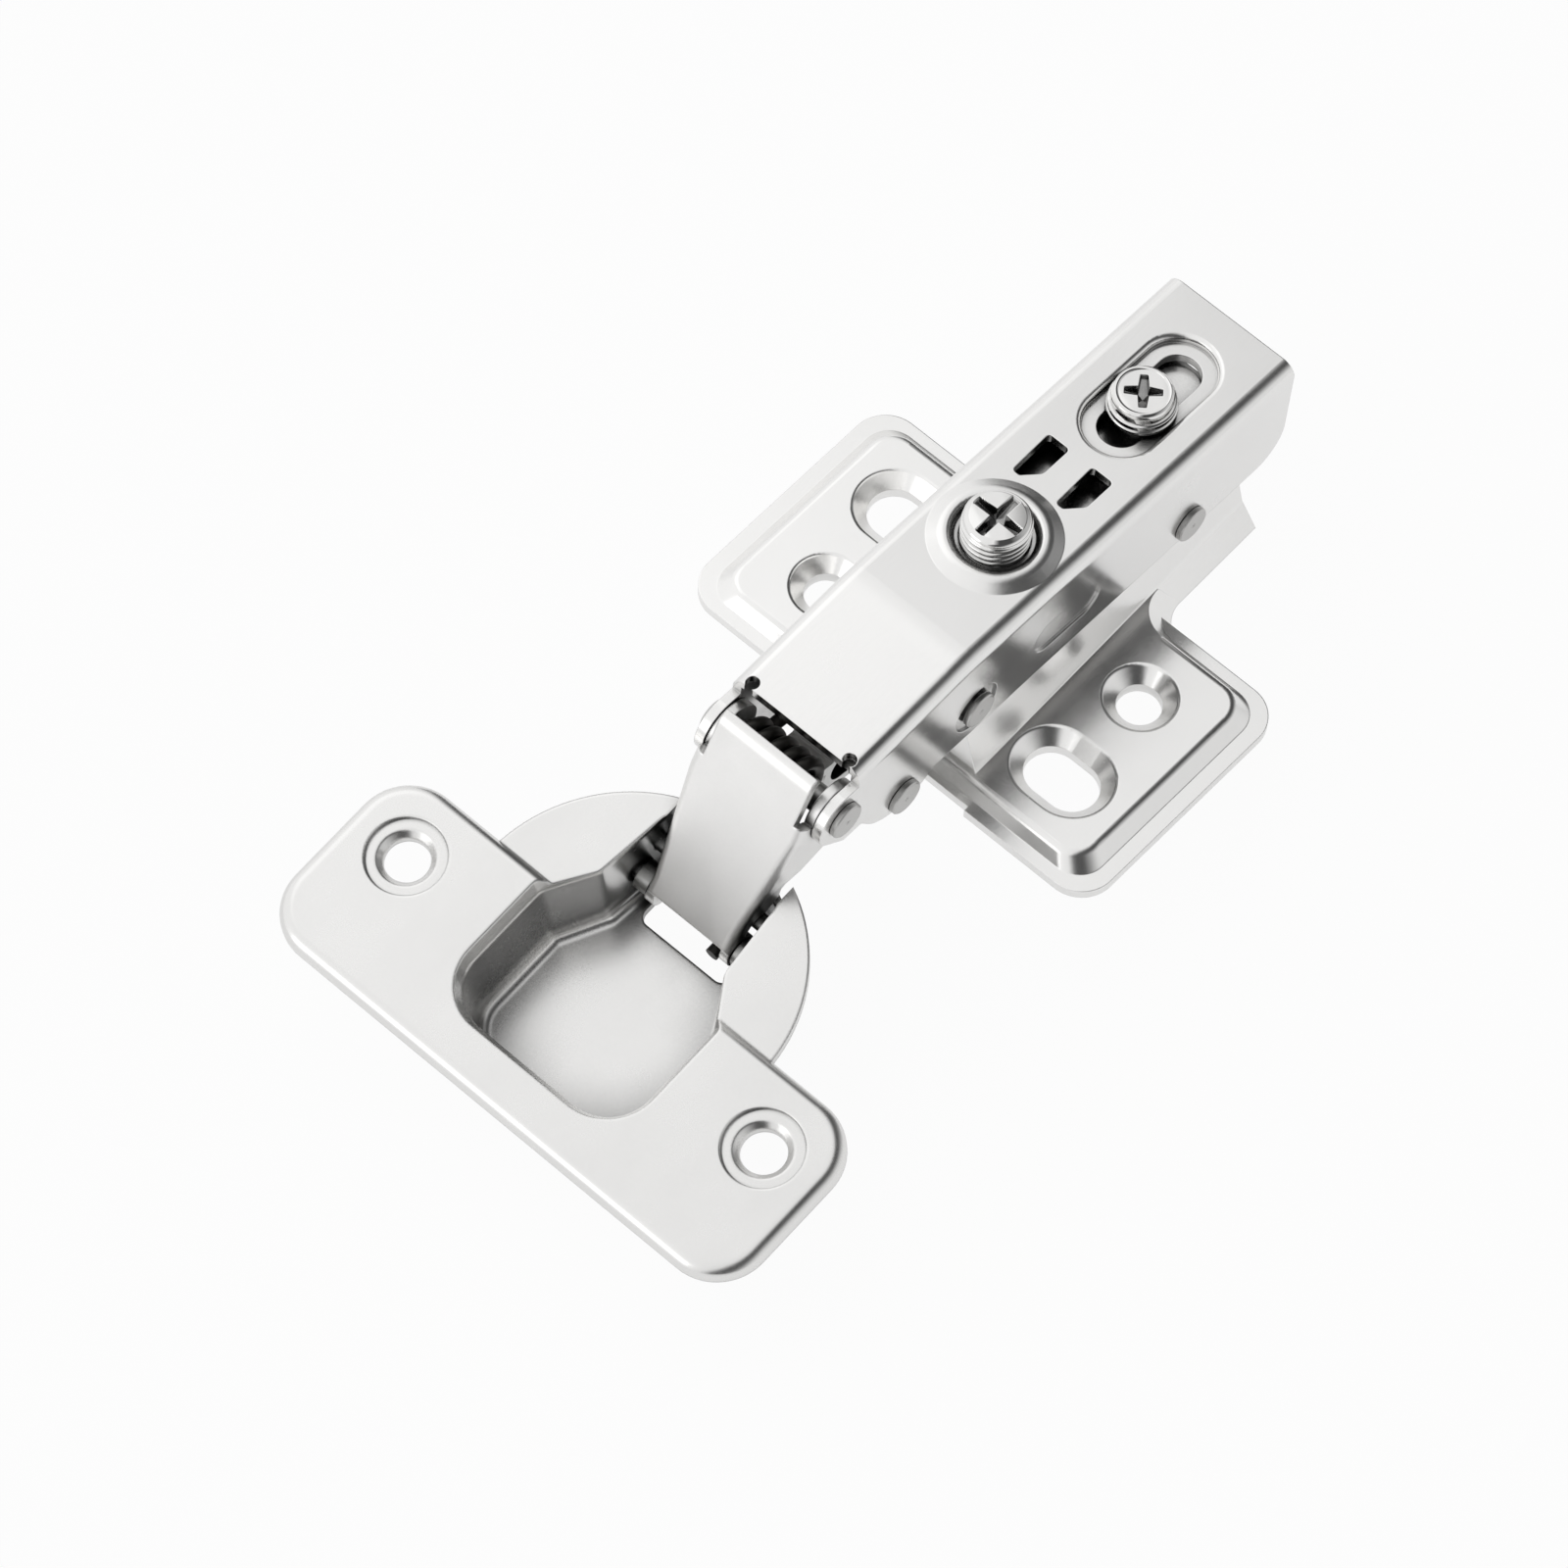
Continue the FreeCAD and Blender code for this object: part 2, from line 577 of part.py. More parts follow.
def make_arm():
    """Build the pressed channel arm with its nose, pivot ears, screw dish and clamp slot."""
    arm = start_piece("arm", arm_place)
    gauge = size("sheet")
    depth = -size("arm_depth")
    rear = size("arm_rear")
    bend = size("arm_rear_corner")
    nose = size("nose_back") - size("outer_pivot_reach")
    crease = -size("nose_crease")
    drop = -size("nose_drop")
    ear = size("ear_radius")
    lobe = size("rivet_head_radius")
    corner_centre = (rear - bend, depth + bend)
    ear_top = around(outer_pivot, ear, 90)
    fall = -drop / (crease - nose)
    bow = size("crease_bow")
    before_crease = (crease - bow, -bow * fall)
    on_crease = (crease, -bow * fall / 4)
    after_crease = (crease + bow, 0)
    side = path(
        (nose, drop), before_crease, (on_crease, after_crease), (rear, 0), (rear, depth + bend),
        (around(corner_centre, bend, -45), around(corner_centre, bend, -90)),
        (inner_pivot[0] + 4.9, depth), ((inner_pivot[0], inner_pivot[1] - lobe + 0.1),
                                        (inner_pivot[0] - 4.9, depth + 0.2)),
        (inner_pivot[0] - 6.4, inner_pivot[1] + lobe - 0.1), (outer_pivot[0] + 0.5,
                                                              inner_pivot[1] + lobe - 0.1),
        around(outer_pivot, ear, 215), (around(outer_pivot, ear, 150), ear_top),
        (nose, ear_top[1]))
    outline = sketch(arm, "YZ_Plane", "side", side)
    pad(arm, outline, "2 * sizes.arm_half_width", both=True)
    half = size("arm_half_width")

    def runs_along_the_top(edge):
        box = edge.BoundBox
        on_side = abs(abs(box.Center.x) - half) < 1e-3 and box.XLength < 1e-3
        return on_side and box.ZMin > drop - 0.01 and box.YLength > 10

    soften(arm, "bend", "sizes.arm_corner", runs_along_the_top)
    inside = sketch(arm, "YZ_Plane", "inside",
                    rounded((crease - 30, -gauge - 30 * fall, 0), (crease, -gauge, 0), (rear + 10, -gauge, 0),
                            (rear + 10, depth - 10, 0), (crease - 30, depth - 10, 0)))
    pocket(arm, inside, "2 * (sizes.arm_half_width - sizes.sheet)", both=True)

    dish = size("dish_radius")
    rise = size("dish_height")
    throat = size("side_screw_radius") + 0.9 * gauge
    turned(arm, "dish", rounded((0, -gauge, 0), (dish + 0.5, -gauge, 0), (dish + 0.5, -0.3 * gauge, 0),
                                (dish - 0.2, 0, 1.5), (dish - 1.6, rise, 1.5), (throat, rise, 0.7),
                                (throat - 0.5, rise - 0.7, 0), (0, rise - 0.7, 0)), "V_Axis")
    under = sketch(arm, "XZ_Plane", "dish_under",
                   rounded((0, -3 * gauge, 0), (dish - gauge, -3 * gauge, 0), (dish - gauge, -gauge, 0),
                           (dish - gauge - rise, rise - gauge, 0), (0, rise - gauge, 0)))
    groove = arm.newObject("PartDesign::Groove", "dish_under_turn")
    groove.Profile = under
    groove.ReferenceAxis = (under, ["V_Axis"])
    groove.Angle = FULL_TURN
    finish(arm, groove, False)
    collar = circles(arm, "XY_Plane", "collar", [(0, 0)], "sizes.side_screw_radius + sizes.sheet",
                     "-2 * sizes.sheet")
    pad(arm, collar, "2 * sizes.sheet")
    thread = circles(arm, "XY_Plane", "thread", [(0, 0)], "sizes.side_screw_radius + sizes.running_gap",
                     "sizes.sheet * 4")
    pocket(arm, thread, "9")

    slot_front = size("clamp_screw_back") - size("slide_back") - 0.4
    slot_rear = size("clamp_screw_back") + size("slide_forward") + 0.4
    tray = size("recess_radius")
    recess = sketch(arm, "XY_Plane", "recess", slot_edges((0, slot_front), (0, slot_rear), tray))
    pocket(arm, recess, "sizes.recess_depth")
    soften(arm, "recess_edge", "0.6 * sizes.recess_depth",
           lambda edge: flat_at(edge, z=0) and abs(edge.BoundBox.Center.x) < tray + 0.1 and edge.BoundBox.YMin > 8
           and edge.BoundBox.YMax < rear - 1)
    floor = sketch(arm, "XY_Plane", "recess_floor",
                   slot_edges((0, slot_front), (0, slot_rear),
                              tray + gauge), "-sizes.recess_depth - sizes.sheet")
    pad(arm, floor, "sizes.sheet")
    slot = sketch(arm, "XY_Plane", "clamp_slot",
                  slot_edges((0, slot_front), (0, slot_rear), size("clamp_slot_radius")), "sizes.sheet")
    pocket(arm, slot, "6")
    window_x = 2.9
    window_front = 7.3
    window_rear = 13.2
    windows = []
    for across in (-window_x, window_x):
        windows += rounded((across - 1.4, window_rear, 0.5), (across + 1.4, window_rear, 0.5),
                           (across + 1.4, window_front + 1.8, 0.9), (across - 0.2, window_front, 0.5),
                           (across - 1.2, window_front, 0.5))
    leaf = sketch(arm, "XY_Plane", "window", windows, "sizes.sheet")
    pocket(arm, leaf, "4")

    notch_x = half - gauge - 0.85
    notch = circles(arm, "XY_Plane", "nose_notch", [(-notch_x, nose + 0.6), (notch_x, nose + 0.6)], "0.75",
                    "sizes.sheet")
    pocket(arm, notch, "6")
    wall_face = "sizes.arm_half_width"
    dimple_depth = "sizes.side_dimple_depth"
    front_end = (stop_rivet[0] + 11.0, stop_rivet[1] + 1.4)
    rear_end = (front_end[0] + 5.5, front_end[1] - 0.3)
    right_side = slot_edges(front_end, rear_end, 2.3)
    boss = circles(arm, "YZ_Plane", "rivet_seat_right", [stop_rivet], "1.5 * sizes.rivet_head_radius",
                   wall_face)
    pocket(arm, boss, dimple_depth)
    dimple = sketch(arm, "YZ_Plane", "side_dimple", right_side, wall_face)
    pocket(arm, dimple, dimple_depth)
    fixed = circles(arm, "YZ_Plane", "rivet_hole", [outer_pivot, inner_pivot, stop_rivet],
                    "sizes.rivet_radius")
    pocket(arm, fixed, both=True)
    tie_hole = circles(arm, "YZ_Plane", "tie_hole", [tie_rivet], "sizes.rivet_radius + sizes.running_gap")
    pocket(arm, tie_hole, both=True)
    return arm


def make_rivet(label, place):
    """Build a rivet along X with a dimpled head on each side of the arm."""
    rivet = start_piece(label, place)
    reach = size("arm_half_width") + size("seat_gap") / 2
    head = reach + size("rivet_head_height")
    shank_radius = size("rivet_radius")
    head_radius = size("rivet_head_radius")
    dimple = 0.3
    edge = 0.15
    profile = rounded(
        (-head + dimple, 0, 0), (-head, dimple, 0), (-head, head_radius - edge, 0), (-head + edge,
                                                                                     head_radius, 0),
        (-reach, head_radius, 0), (-reach, shank_radius, 0), (reach, shank_radius, 0), (reach, head_radius, 0),
        (head - edge, head_radius, 0), (head, head_radius - edge, 0), (head, dimple, 0), (head - dimple, 0, 0))
    turned(rivet, "profile", profile, "H_Axis")
    return rivet


def make_outer_link():
    """Build the outer link: an upright web with flared flanges, arm ears and a bent lip."""
    local_n = -size("web_reach") + size("link_foot_radius") + 0.55
    foot = (local_n, -math.sqrt(outer_length ** 2 - local_n ** 2))
    turn = lean(pivot_c - pivot_a) - math.degrees(math.atan2(foot[1], foot[0]))
    link = start_piece("outer_link", Placement(pivot_a, Rotation(X_AXIS, turn)))
    inverse = link.Placement.inverse()
    stop = inverse.multVec(pivot_d)
    stop = (stop.y, stop.z)
    gauge = size("sheet")
    web = -size("web_reach")
    web_top = size("web_top")
    web_foot = foot[1] + size("web_foot_rise")
    ear = size("link_ear_radius")
    foot_ear = size("link_foot_radius")
    clear = size("inner_pin_radius") + 0.3
    side = path(
        (web, web_foot), (web, web_top), (web + 1.5, web_top), (web + 1.5, -1.0), around((0, 0), ear, 197),
        (around((0, 0), ear, 90), around((0, 0), ear, -10)), (2.75, -5.2), (0.55, -8.7), (-1.15, -9.9),
        (-1.45, -10.5), (-0.85, -11.95),
        around(stop, clear, 84), (around(stop, clear, 132), around(stop, clear, 180)),
        (stop[0] - clear, foot[1] + foot_ear * 0.98),
        (around(foot, foot_ear, 0), around(foot, foot_ear, -90)),
        (around(foot, foot_ear, -135), around(foot, foot_ear, 180)))
    outline = sketch(link, "YZ_Plane", "side", side)
    pad(link, outline, "2 * sizes.link_half_width", both=True)
    wide = size("link_half_width")
    narrow = size("link_foot_half_width")
    top = web_top + 6
    low = foot[1] - 6
    taper_top = -3.0
    taper_foot = foot[1] + 2.5
    face = "sizes.web_reach + 3"
    outer_wedge = rounded((wide, top, 0), (wide, taper_top, 0), (narrow, taper_foot, 0), (narrow, low, 0),
                          (-narrow, low, 0), (-narrow, taper_foot, 0), (-wide, taper_top, 0), (-wide, top, 0))
    frame = box_edges(-2 * wide, 2 * wide, low, top + 1)
    trim = sketch(link, "XZ_Plane", "trim", frame + outer_wedge, face)
    pocket(link, trim)

    def is_a_front_corner(edge):
        box = edge.BoundBox
        return abs(box.YMin - web) < 1e-3 and abs(box.YMax - web) < 1e-3 and box.ZLength > 2 and box.XLength < 3

    soften(link, "bend", "0.9 * sizes.sheet", is_a_front_corner)
    inner_wedge = rounded(
        (wide - gauge, top, 0), (wide - gauge, taper_top, 0), (narrow - gauge, taper_foot,
                                                               0), (narrow - gauge, low, 0),
        (gauge - narrow, low, 0), (gauge - narrow, taper_foot, 0), (gauge - wide, taper_top,
                                                                    0), (gauge - wide, top, 0))
    channel = sketch(link, "XZ_Plane", "channel", inner_wedge, "sizes.web_reach - sizes.sheet")
    pocket(link, channel)
    foot_trim = sketch(link, "XZ_Plane", "web_foot", box_edges(gauge - narrow, narrow - gauge, low, web_foot),
                       face)
    pocket(link, foot_trim)
    lip_half = size("lip_half_width")
    relief = []
    for sign in (-1, 1):
        relief += box_edges(*sorted((sign * lip_half, sign * (wide + 1))), -0.9, top)
    notch = sketch(link, "XZ_Plane", "relief", relief, face)
    pocket(link, notch, "3 + 1.5")
    rise = size("lip_rise")
    lip = path((web, web_top - 0.6), (web, web_top),
               ((web + 0.15, web_top + 0.55 * rise), (web + 0.65, web_top + rise)),
               (web + 0.65 + 0.8 * gauge, web_top + rise - 0.7 * gauge),
               ((web + 0.1 + gauge, web_top + 0.35 * rise), (web + gauge, web_top - 0.1)),
               (web + gauge, web_top - 0.6))
    bent = sketch(link, "YZ_Plane", "lip", lip)
    pad(link, bent, "2 * sizes.lip_half_width", both=True)
    eye = circles(link, "YZ_Plane", "arm_eye", [(0, 0)], "sizes.rivet_radius + sizes.running_gap")
    pocket(link, eye, both=True)
    foot_eye = circles(link, "YZ_Plane", "cup_eye", [foot], "sizes.outer_pin_radius + sizes.running_gap")
    pocket(link, foot_eye, both=True)
    return link


def make_inner_link():
    """Build the goose-necked inner link, whose arm end has the long eye of the open pivot."""
    turn = lean(pivot_b - pivot_d)
    link = start_piece("inner_link", Placement(pivot_d, Rotation(X_AXIS, turn)))
    half_sheet = size("inner_link_sheet") / 2
    eye = size("inner_eye_radius")
    reach = inner_length
    slot_radius = size("rivet_radius") + size("open_pivot_gap")
    slot_tip = (reach + size("open_pivot_along"), size("open_pivot_rise"))
    long_eye = sketch(link, "YZ_Plane", "long_eye",
                      slot_edges((reach, 0), slot_tip, slot_radius + size("slot_wall")))
    shift = "(sizes.inner_link_right - sizes.inner_link_left) / 2 "
    width = "sizes.inner_link_left + sizes.inner_link_right"
    long_eye.setExpression("AttachmentOffset.Base.z", shift)
    pad(link, long_eye, width, both=True)
    round_eye = circles(link, "YZ_Plane", "round_eye", [(0, 0)], "sizes.inner_eye_radius", shift)
    pad(link, round_eye, width, both=True)
    neck = (4.84, 3.82)
    crown = (7.6, 5.6)
    shoulder = (12.5, 4.9)
    strip = [(-0.2, 0.2), neck, crown, shoulder, (reach - 0.3, size("slot_wall") + 0.6)]
    upper = []
    lower = []
    for index, place in enumerate(strip):
        before = point(strip[max(index - 1, 0)])
        after = point(strip[min(index + 1, len(strip) - 1)])
        along = (after - before).normalize()
        side = Vector(-along.y, along.x, 0) * half_sheet
        upper.append(point(place) + side)
        lower.append(point(place) - side)
    top = Part.BSplineCurve()
    top.interpolate(upper)
    bottom = Part.BSplineCurve()
    bottom.interpolate(lower)
    web = sketch(link, "YZ_Plane", "strip", [top, bottom, Part.LineSegment(upper[0], lower[0]),
                                             Part.LineSegment(upper[-1], lower[-1])], shift)
    pad(link, web, width, both=True)
    slot = sketch(link, "YZ_Plane", "slot", slot_edges((reach, 0), slot_tip, slot_radius))
    pocket(link, slot, both=True)
    hole = circles(link, "YZ_Plane", "hole", [(0, 0)], "sizes.inner_pin_radius + sizes.running_gap")
    pocket(link, hole, both=True)
    return link


def pocket_outline(side_inset, throat_inset):
    """Return the cup pocket's outline, drawn inwards at its sides and at its throat."""
    half = size("pocket_half_width") - side_inset
    front = side_inset - size("pocket_front")
    corner = size("pocket_corner") - side_inset
    shoulder = size("pocket_side_end") - 0.4 * side_inset
    throat = size("throat_half_width") - throat_inset
    start = size("throat_start") - 0.4 * side_inset
    end = size("throat_end_half_width") - throat_inset
    turn = size("throat_end") - 2.2 - 0.4 * throat_inset
    back = size("throat_end") - 0.65 - throat_inset
    right = ((half, front, corner), (half, shoulder, 1.5), (throat, start, 1.5), (end, turn, 1.5),
             (3.9, back, 2.5))
    left = tuple((-across, along, radius) for across, along, radius in reversed(right))
    return rounded(*(right + left))


def make_cup():
    """Build the pressed door cup: screw flange, round rim, pocket, throat and floor window."""
    cup = start_piece("cup", cup_place)
    gauge = size("sheet")
    span = size("flange_half_span")
    front = -size("flange_front")
    back = size("flange_back")
    corner = size("flange_corner")
    rim = size("flange_rim")
    flange = sketch(cup, "XY_Plane", "flange", box_edges(-span, span, front, back, corner))
    pad(cup, flange, "sizes.flange_rim", flip=True)
    soften(cup, "rounded_edge", "sizes.flange_bevel", lambda edge: flat_at(edge, z=0))
    wall = size("flange_bevel") + 0.1
    hollow = sketch(cup, "XY_Plane", "flange_hollow",
                    box_edges(-span + wall, span - wall, front + wall, back - wall, corner - wall),
                    "-sizes.flange_rim")
    pocket(cup, hollow, "sizes.flange_rim - sizes.flange_sheet", flip=True)
    disc = circles(cup, "XY_Plane", "disc", [(0, 0)], "sizes.disc_radius", "-sizes.disc_drop")
    pad(cup, disc, "sizes.sheet", flip=True)
    skirt = circles(cup, "XY_Plane", "skirt", [(0, 0)], "sizes.cup_radius", "-sizes.flange_rim + 0.1")
    pad(cup, skirt, "sizes.skirt_depth - sizes.flange_rim", flip=True)
    bore = circles(cup, "XY_Plane", "skirt_bore", [(0, 0)], "sizes.cup_radius - sizes.sheet",
                   "-sizes.skirt_depth - 1")
    pocket(cup, bore, "1 + sizes.skirt_depth - sizes.disc_drop - sizes.sheet", flip=True)
    lip = size("pocket_lip")
    draft = size("pocket_draft")
    shell_top = sketch(cup, "XY_Plane", "shell_top", pocket_outline(lip - gauge, 0.2 - gauge),
                       "-sizes.disc_drop - sizes.sheet / 2")
    shell_floor = sketch(cup, "XY_Plane", "shell_floor", pocket_outline(lip + draft - gauge, 0.4 - gauge),
                         "-sizes.pocket_depth - sizes.sheet")
    loft(cup, shell_top, shell_floor)
    sole = -size("pocket_depth") - gauge
    soften(cup, "shell_edge", "sizes.pocket_floor_bend + sizes.sheet / 2", lambda edge: flat_at(edge, z=sole))
    mouth = sketch(cup, "XY_Plane", "mouth", pocket_outline(-0.1, -0.05), "0.2")
    waist = sketch(cup, "XY_Plane", "waist", pocket_outline(lip, 0.2), "-sizes.pocket_lip_depth")
    loft(cup, mouth, waist, adds=False)
    waist_below = sketch(cup, "XY_Plane", "waist_below", pocket_outline(lip, 0.2), "-sizes.pocket_lip_depth")
    floor = sketch(cup, "XY_Plane", "floor", pocket_outline(lip + draft, 0.4), "-sizes.pocket_depth")
    loft(cup, waist_below, floor, adds=False)
    depth = -size("pocket_depth")
    waist_z = -size("pocket_lip_depth")
    soften(cup, "floor_bend", "sizes.pocket_floor_bend", lambda edge: flat_at(edge, z=depth))
    soften(cup, "lip_bend", "sizes.pocket_lip_bend",
           lambda edge: flat_at(edge, z=waist_z) and abs(edge.BoundBox.Center.x) < 13 and edge.BoundBox.YMin > -15)
    half_notch = size("throat_notch_half_width")
    notch = sketch(cup, "XY_Plane", "throat_notch",
                   box_edges(-half_notch, half_notch, size("throat_end") - 3.0, size("disc_radius") + 5), "1")
    pocket(cup, notch, "sizes.throat_notch_depth + 1")
    window_half = size("window_half_width")
    window = sketch(cup, "XY_Plane", "window",
                    box_edges(-window_half, window_half, size("window_start"), size("window_end"), 1.2),
                    "-sizes.pocket_depth + 0.5")
    pocket(cup, window, "4")

    hole_x = span - size("flange_hole_margin")
    places = [(-hole_x, -size("flange_hole_y")), (hole_x, -size("flange_hole_y"))]
    boss = circles(cup, "XY_Plane", "screw_boss", places, "sizes.flange_recess_radius + 0.6",
                   "-sizes.flange_recess_depth - 0.1")
    pad(cup, boss, "sizes.flange_rim - sizes.flange_recess_depth - 0.1", flip=True)
    recess = circles(cup, "XY_Plane", "screw_recess", places, "sizes.flange_recess_radius")
    pocket(cup, recess, "sizes.flange_recess_depth")
    holes = circles(cup, "XY_Plane", "screw_hole", places, "sizes.flange_hole_radius")
    pocket(cup, holes, "5")
    seat = -size("flange_recess_depth")
    hole_edge = 2.2 * math.pi * size("flange_hole_radius")
    soften(cup, "countersink", "sizes.flange_countersink",
           lambda edge: flat_at(edge, z=seat) and edge.Length < hole_edge, "PartDesign::Chamfer")
    outer_bore = circles(cup, "YZ_Plane", "outer_bore", [outer_pin], "sizes.outer_pin_radius")
    pocket(cup, outer_bore, both=True)
    inner_bore = circles(cup, "YZ_Plane", "inner_bore", [inner_pin], "sizes.inner_pin_radius")
    pocket(cup, inner_bore, both=True)
    return cup


def throat_reach(along, depth):
    """Return how far the outside of the throat wall stands from the middle at a pin."""
    start = size("throat_start")
    slope = (size("throat_end_half_width") - size("throat_half_width")) / (size("throat_end") - start)
    fall = 0.2 + 0.2 * depth / size("pocket_depth")
    return size("throat_half_width") + slope * (along - start) - fall + size("sheet")


def make_pin(label, pair, radius_name):
    """Build a cup pin with a low head outside each throat wall."""
    pin = start_piece(label, Placement(in_world(cup_place, pair), cup_place.Rotation))
    radius = size(radius_name)
    reach = throat_reach(pair[0], -pair[1]) + size("seat_gap")
    head = reach + 0.5
    head_radius = radius + 0.25
    edge = 0.1
    turned(pin, "profile", rounded(
        (-head, 0, 0), (-head, head_radius - edge, 0), (-head + edge, head_radius, 0), (-reach, head_radius,
                                                                                        0),
        (-reach, radius, 0), (reach, radius, 0), (reach, head_radius, 0), (head - edge, head_radius, 0),
        (head, head_radius - edge, 0), (head, 0, 0)), "H_Axis")
    return pin


def make_bush(label, side):
    """Build a spacer bush that keeps the outer link central on its pin."""
    bush = start_piece(label, Placement(pivot_c, cup_place.Rotation))
    start = size("link_foot_half_width") + 0.5 * size("seat_gap") + 0.05
    near, far = sorted((side * start, side * (start + size("bush_length"))))
    inner = size("outer_pin_radius") + 0.5 * size("running_gap")
    turned(bush, "profile", box_edges(near, far, inner, size("bush_radius")), "H_Axis")
    return bush


def threads(radius, low, high):
    """Return the corners of a ringed thread between two heights, going up."""
    pitch = size("thread_pitch")
    root = radius - size("thread_depth")
    corners = [(root, low, 0)]
    for turn in range(int((high - low) / pitch)):
        foot = low + turn * pitch
        corners += [(radius, foot + 0.35 * pitch, 0), (radius, foot + 0.55 * pitch, 0),
                    (root, foot + 0.9 * pitch, 0)]
    return corners


def cross_recess(piece, top):
    """Cut a cross recess down into the top of a screw."""
    half = size("recess_cross_length") / 2
    bar = size("recess_cross_width") / 2
    cross = rounded((half, -bar, 0.2), (half, bar, 0.2), (bar, bar, 0), (bar, half, 0.2), (-bar, half, 0.2),
                    (-bar, bar, 0), (-half, bar, 0.2), (-half, -bar, 0.2), (-bar, -bar, 0), (-bar, -half, 0.2),
                    (bar, -half, 0.2), (bar, -bar, 0))
    pocket(piece, sketch(piece, "XY_Plane", "cross", cross, top), "sizes.recess_cross_depth")


def make_side_screw():
    """Build the headless screw that tilts the arm, with the neck held by the riser's slot."""
    screw = start_piece("side_screw", arm_place)
    radius = size("side_screw_radius")
    top = size("side_screw_top")
    neck = size("side_screw_neck")
    foot = size("side_screw_foot")
    neck_top = -3.2
    foot_top = -5.7
    foot_end = -6.9
    corners = [(0, foot_end, 0), (foot - 0.3, foot_end, 0), (foot, foot_end + 0.3, 0), (foot, foot_top, 0),
               (neck, foot_top, 0), (neck, neck_top, 0)]
    corners += threads(radius, neck_top, top - 0.5)
    corners += [(radius - size("thread_depth"), top - 0.2, 0), (radius - size("thread_depth") - 0.2, top, 0),
                (0, top, 0)]
    turned(screw, "profile", rounded(*corners), "V_Axis")
    cross_recess(screw, "sizes.side_screw_top")
    return screw


def make_clamp_screw():
    """Build the screw that clamps the arm onto the riser."""
    screw = start_piece("clamp_screw", Placement(Vector(0, size("clamp_screw_back"), 0), Rotation()))
    shank = size("clamp_shank_radius")
    head = size("clamp_head_radius")
    seat = clamp_seat + size("washer_thickness")
    crown = seat + size("clamp_head_height")
    end = clamp_seat - size("clamp_screw_grip")
    turned(screw, "profile", rounded(
        (0, end, 0), (shank - 0.4, end, 0), (shank, end + 0.4, 0), (shank, seat, 0), (head - 0.15, seat, 0),
        (head, seat + 0.15, 0), (head, crown - 0.9, 0.5), (head - 0.9, crown, 0.6), (0, crown, 0)), "V_Axis")
    cross_recess(screw, "sizes.riser_height + sizes.clamp_rise + sizes.washer_thickness + sizes.clamp_head_height")
    return screw


def make_washer():
    """Build the washer under the clamp screw's head."""
    washer = start_piece("clamp_washer", Placement(Vector(0, size("clamp_screw_back"), 0), Rotation()))
    low = clamp_seat
    inner = size("clamp_shank_radius") + size("running_gap")
    outer = size("washer_radius")
    high = low + size("washer_thickness")
    turned(washer, "profile", rounded(
        (inner, low, 0), (outer - 0.1, low, 0), (outer, low + 0.1, 0), (outer, high - 0.15, 0), (outer - 0.15,
                                                                                                 high, 0),
        (inner, high, 0)), "V_Axis")
    return washer


def strand(*corners):
    """Return the edges of an open path whose inner corners are (across, up, radius)."""
    return rounded(*corners)[:-1]


def wire_leg(spring, name, corners, x_offset):
    """Add a round wire along a path that lies in an upright plane of the spring."""
    course = sketch(spring, "YZ_Plane", f"{name}_path", strand(*corners), x_offset)
    document.recompute()
    section = spring.newObject("Sketcher::SketchObject", f"closing_spring_{name}_section")
    section.AttachmentSupport = [(course, "Edge1")]
    section.MapMode = "NormalToEdge"
    section.MapPathParameter = 0
    section.addGeometry(Part.Circle(Vector(0, 0, 0), Vector(0, 0, 1), size("wire_radius")))
    section.addConstraint(Sketcher.Constraint("Radius", 0, size("wire_radius")))
    section.setExpression("Constraints[0]", "sizes.wire_radius")
    pipe = spring.newObject("PartDesign::AdditivePipe", f"closing_spring_{name}")
    pipe.Profile = section
    pipe.Spine = (course, [f"Edge{index + 1}" for index in range(len(course.Shape.Edges))])
    return finish(spring, pipe, True)


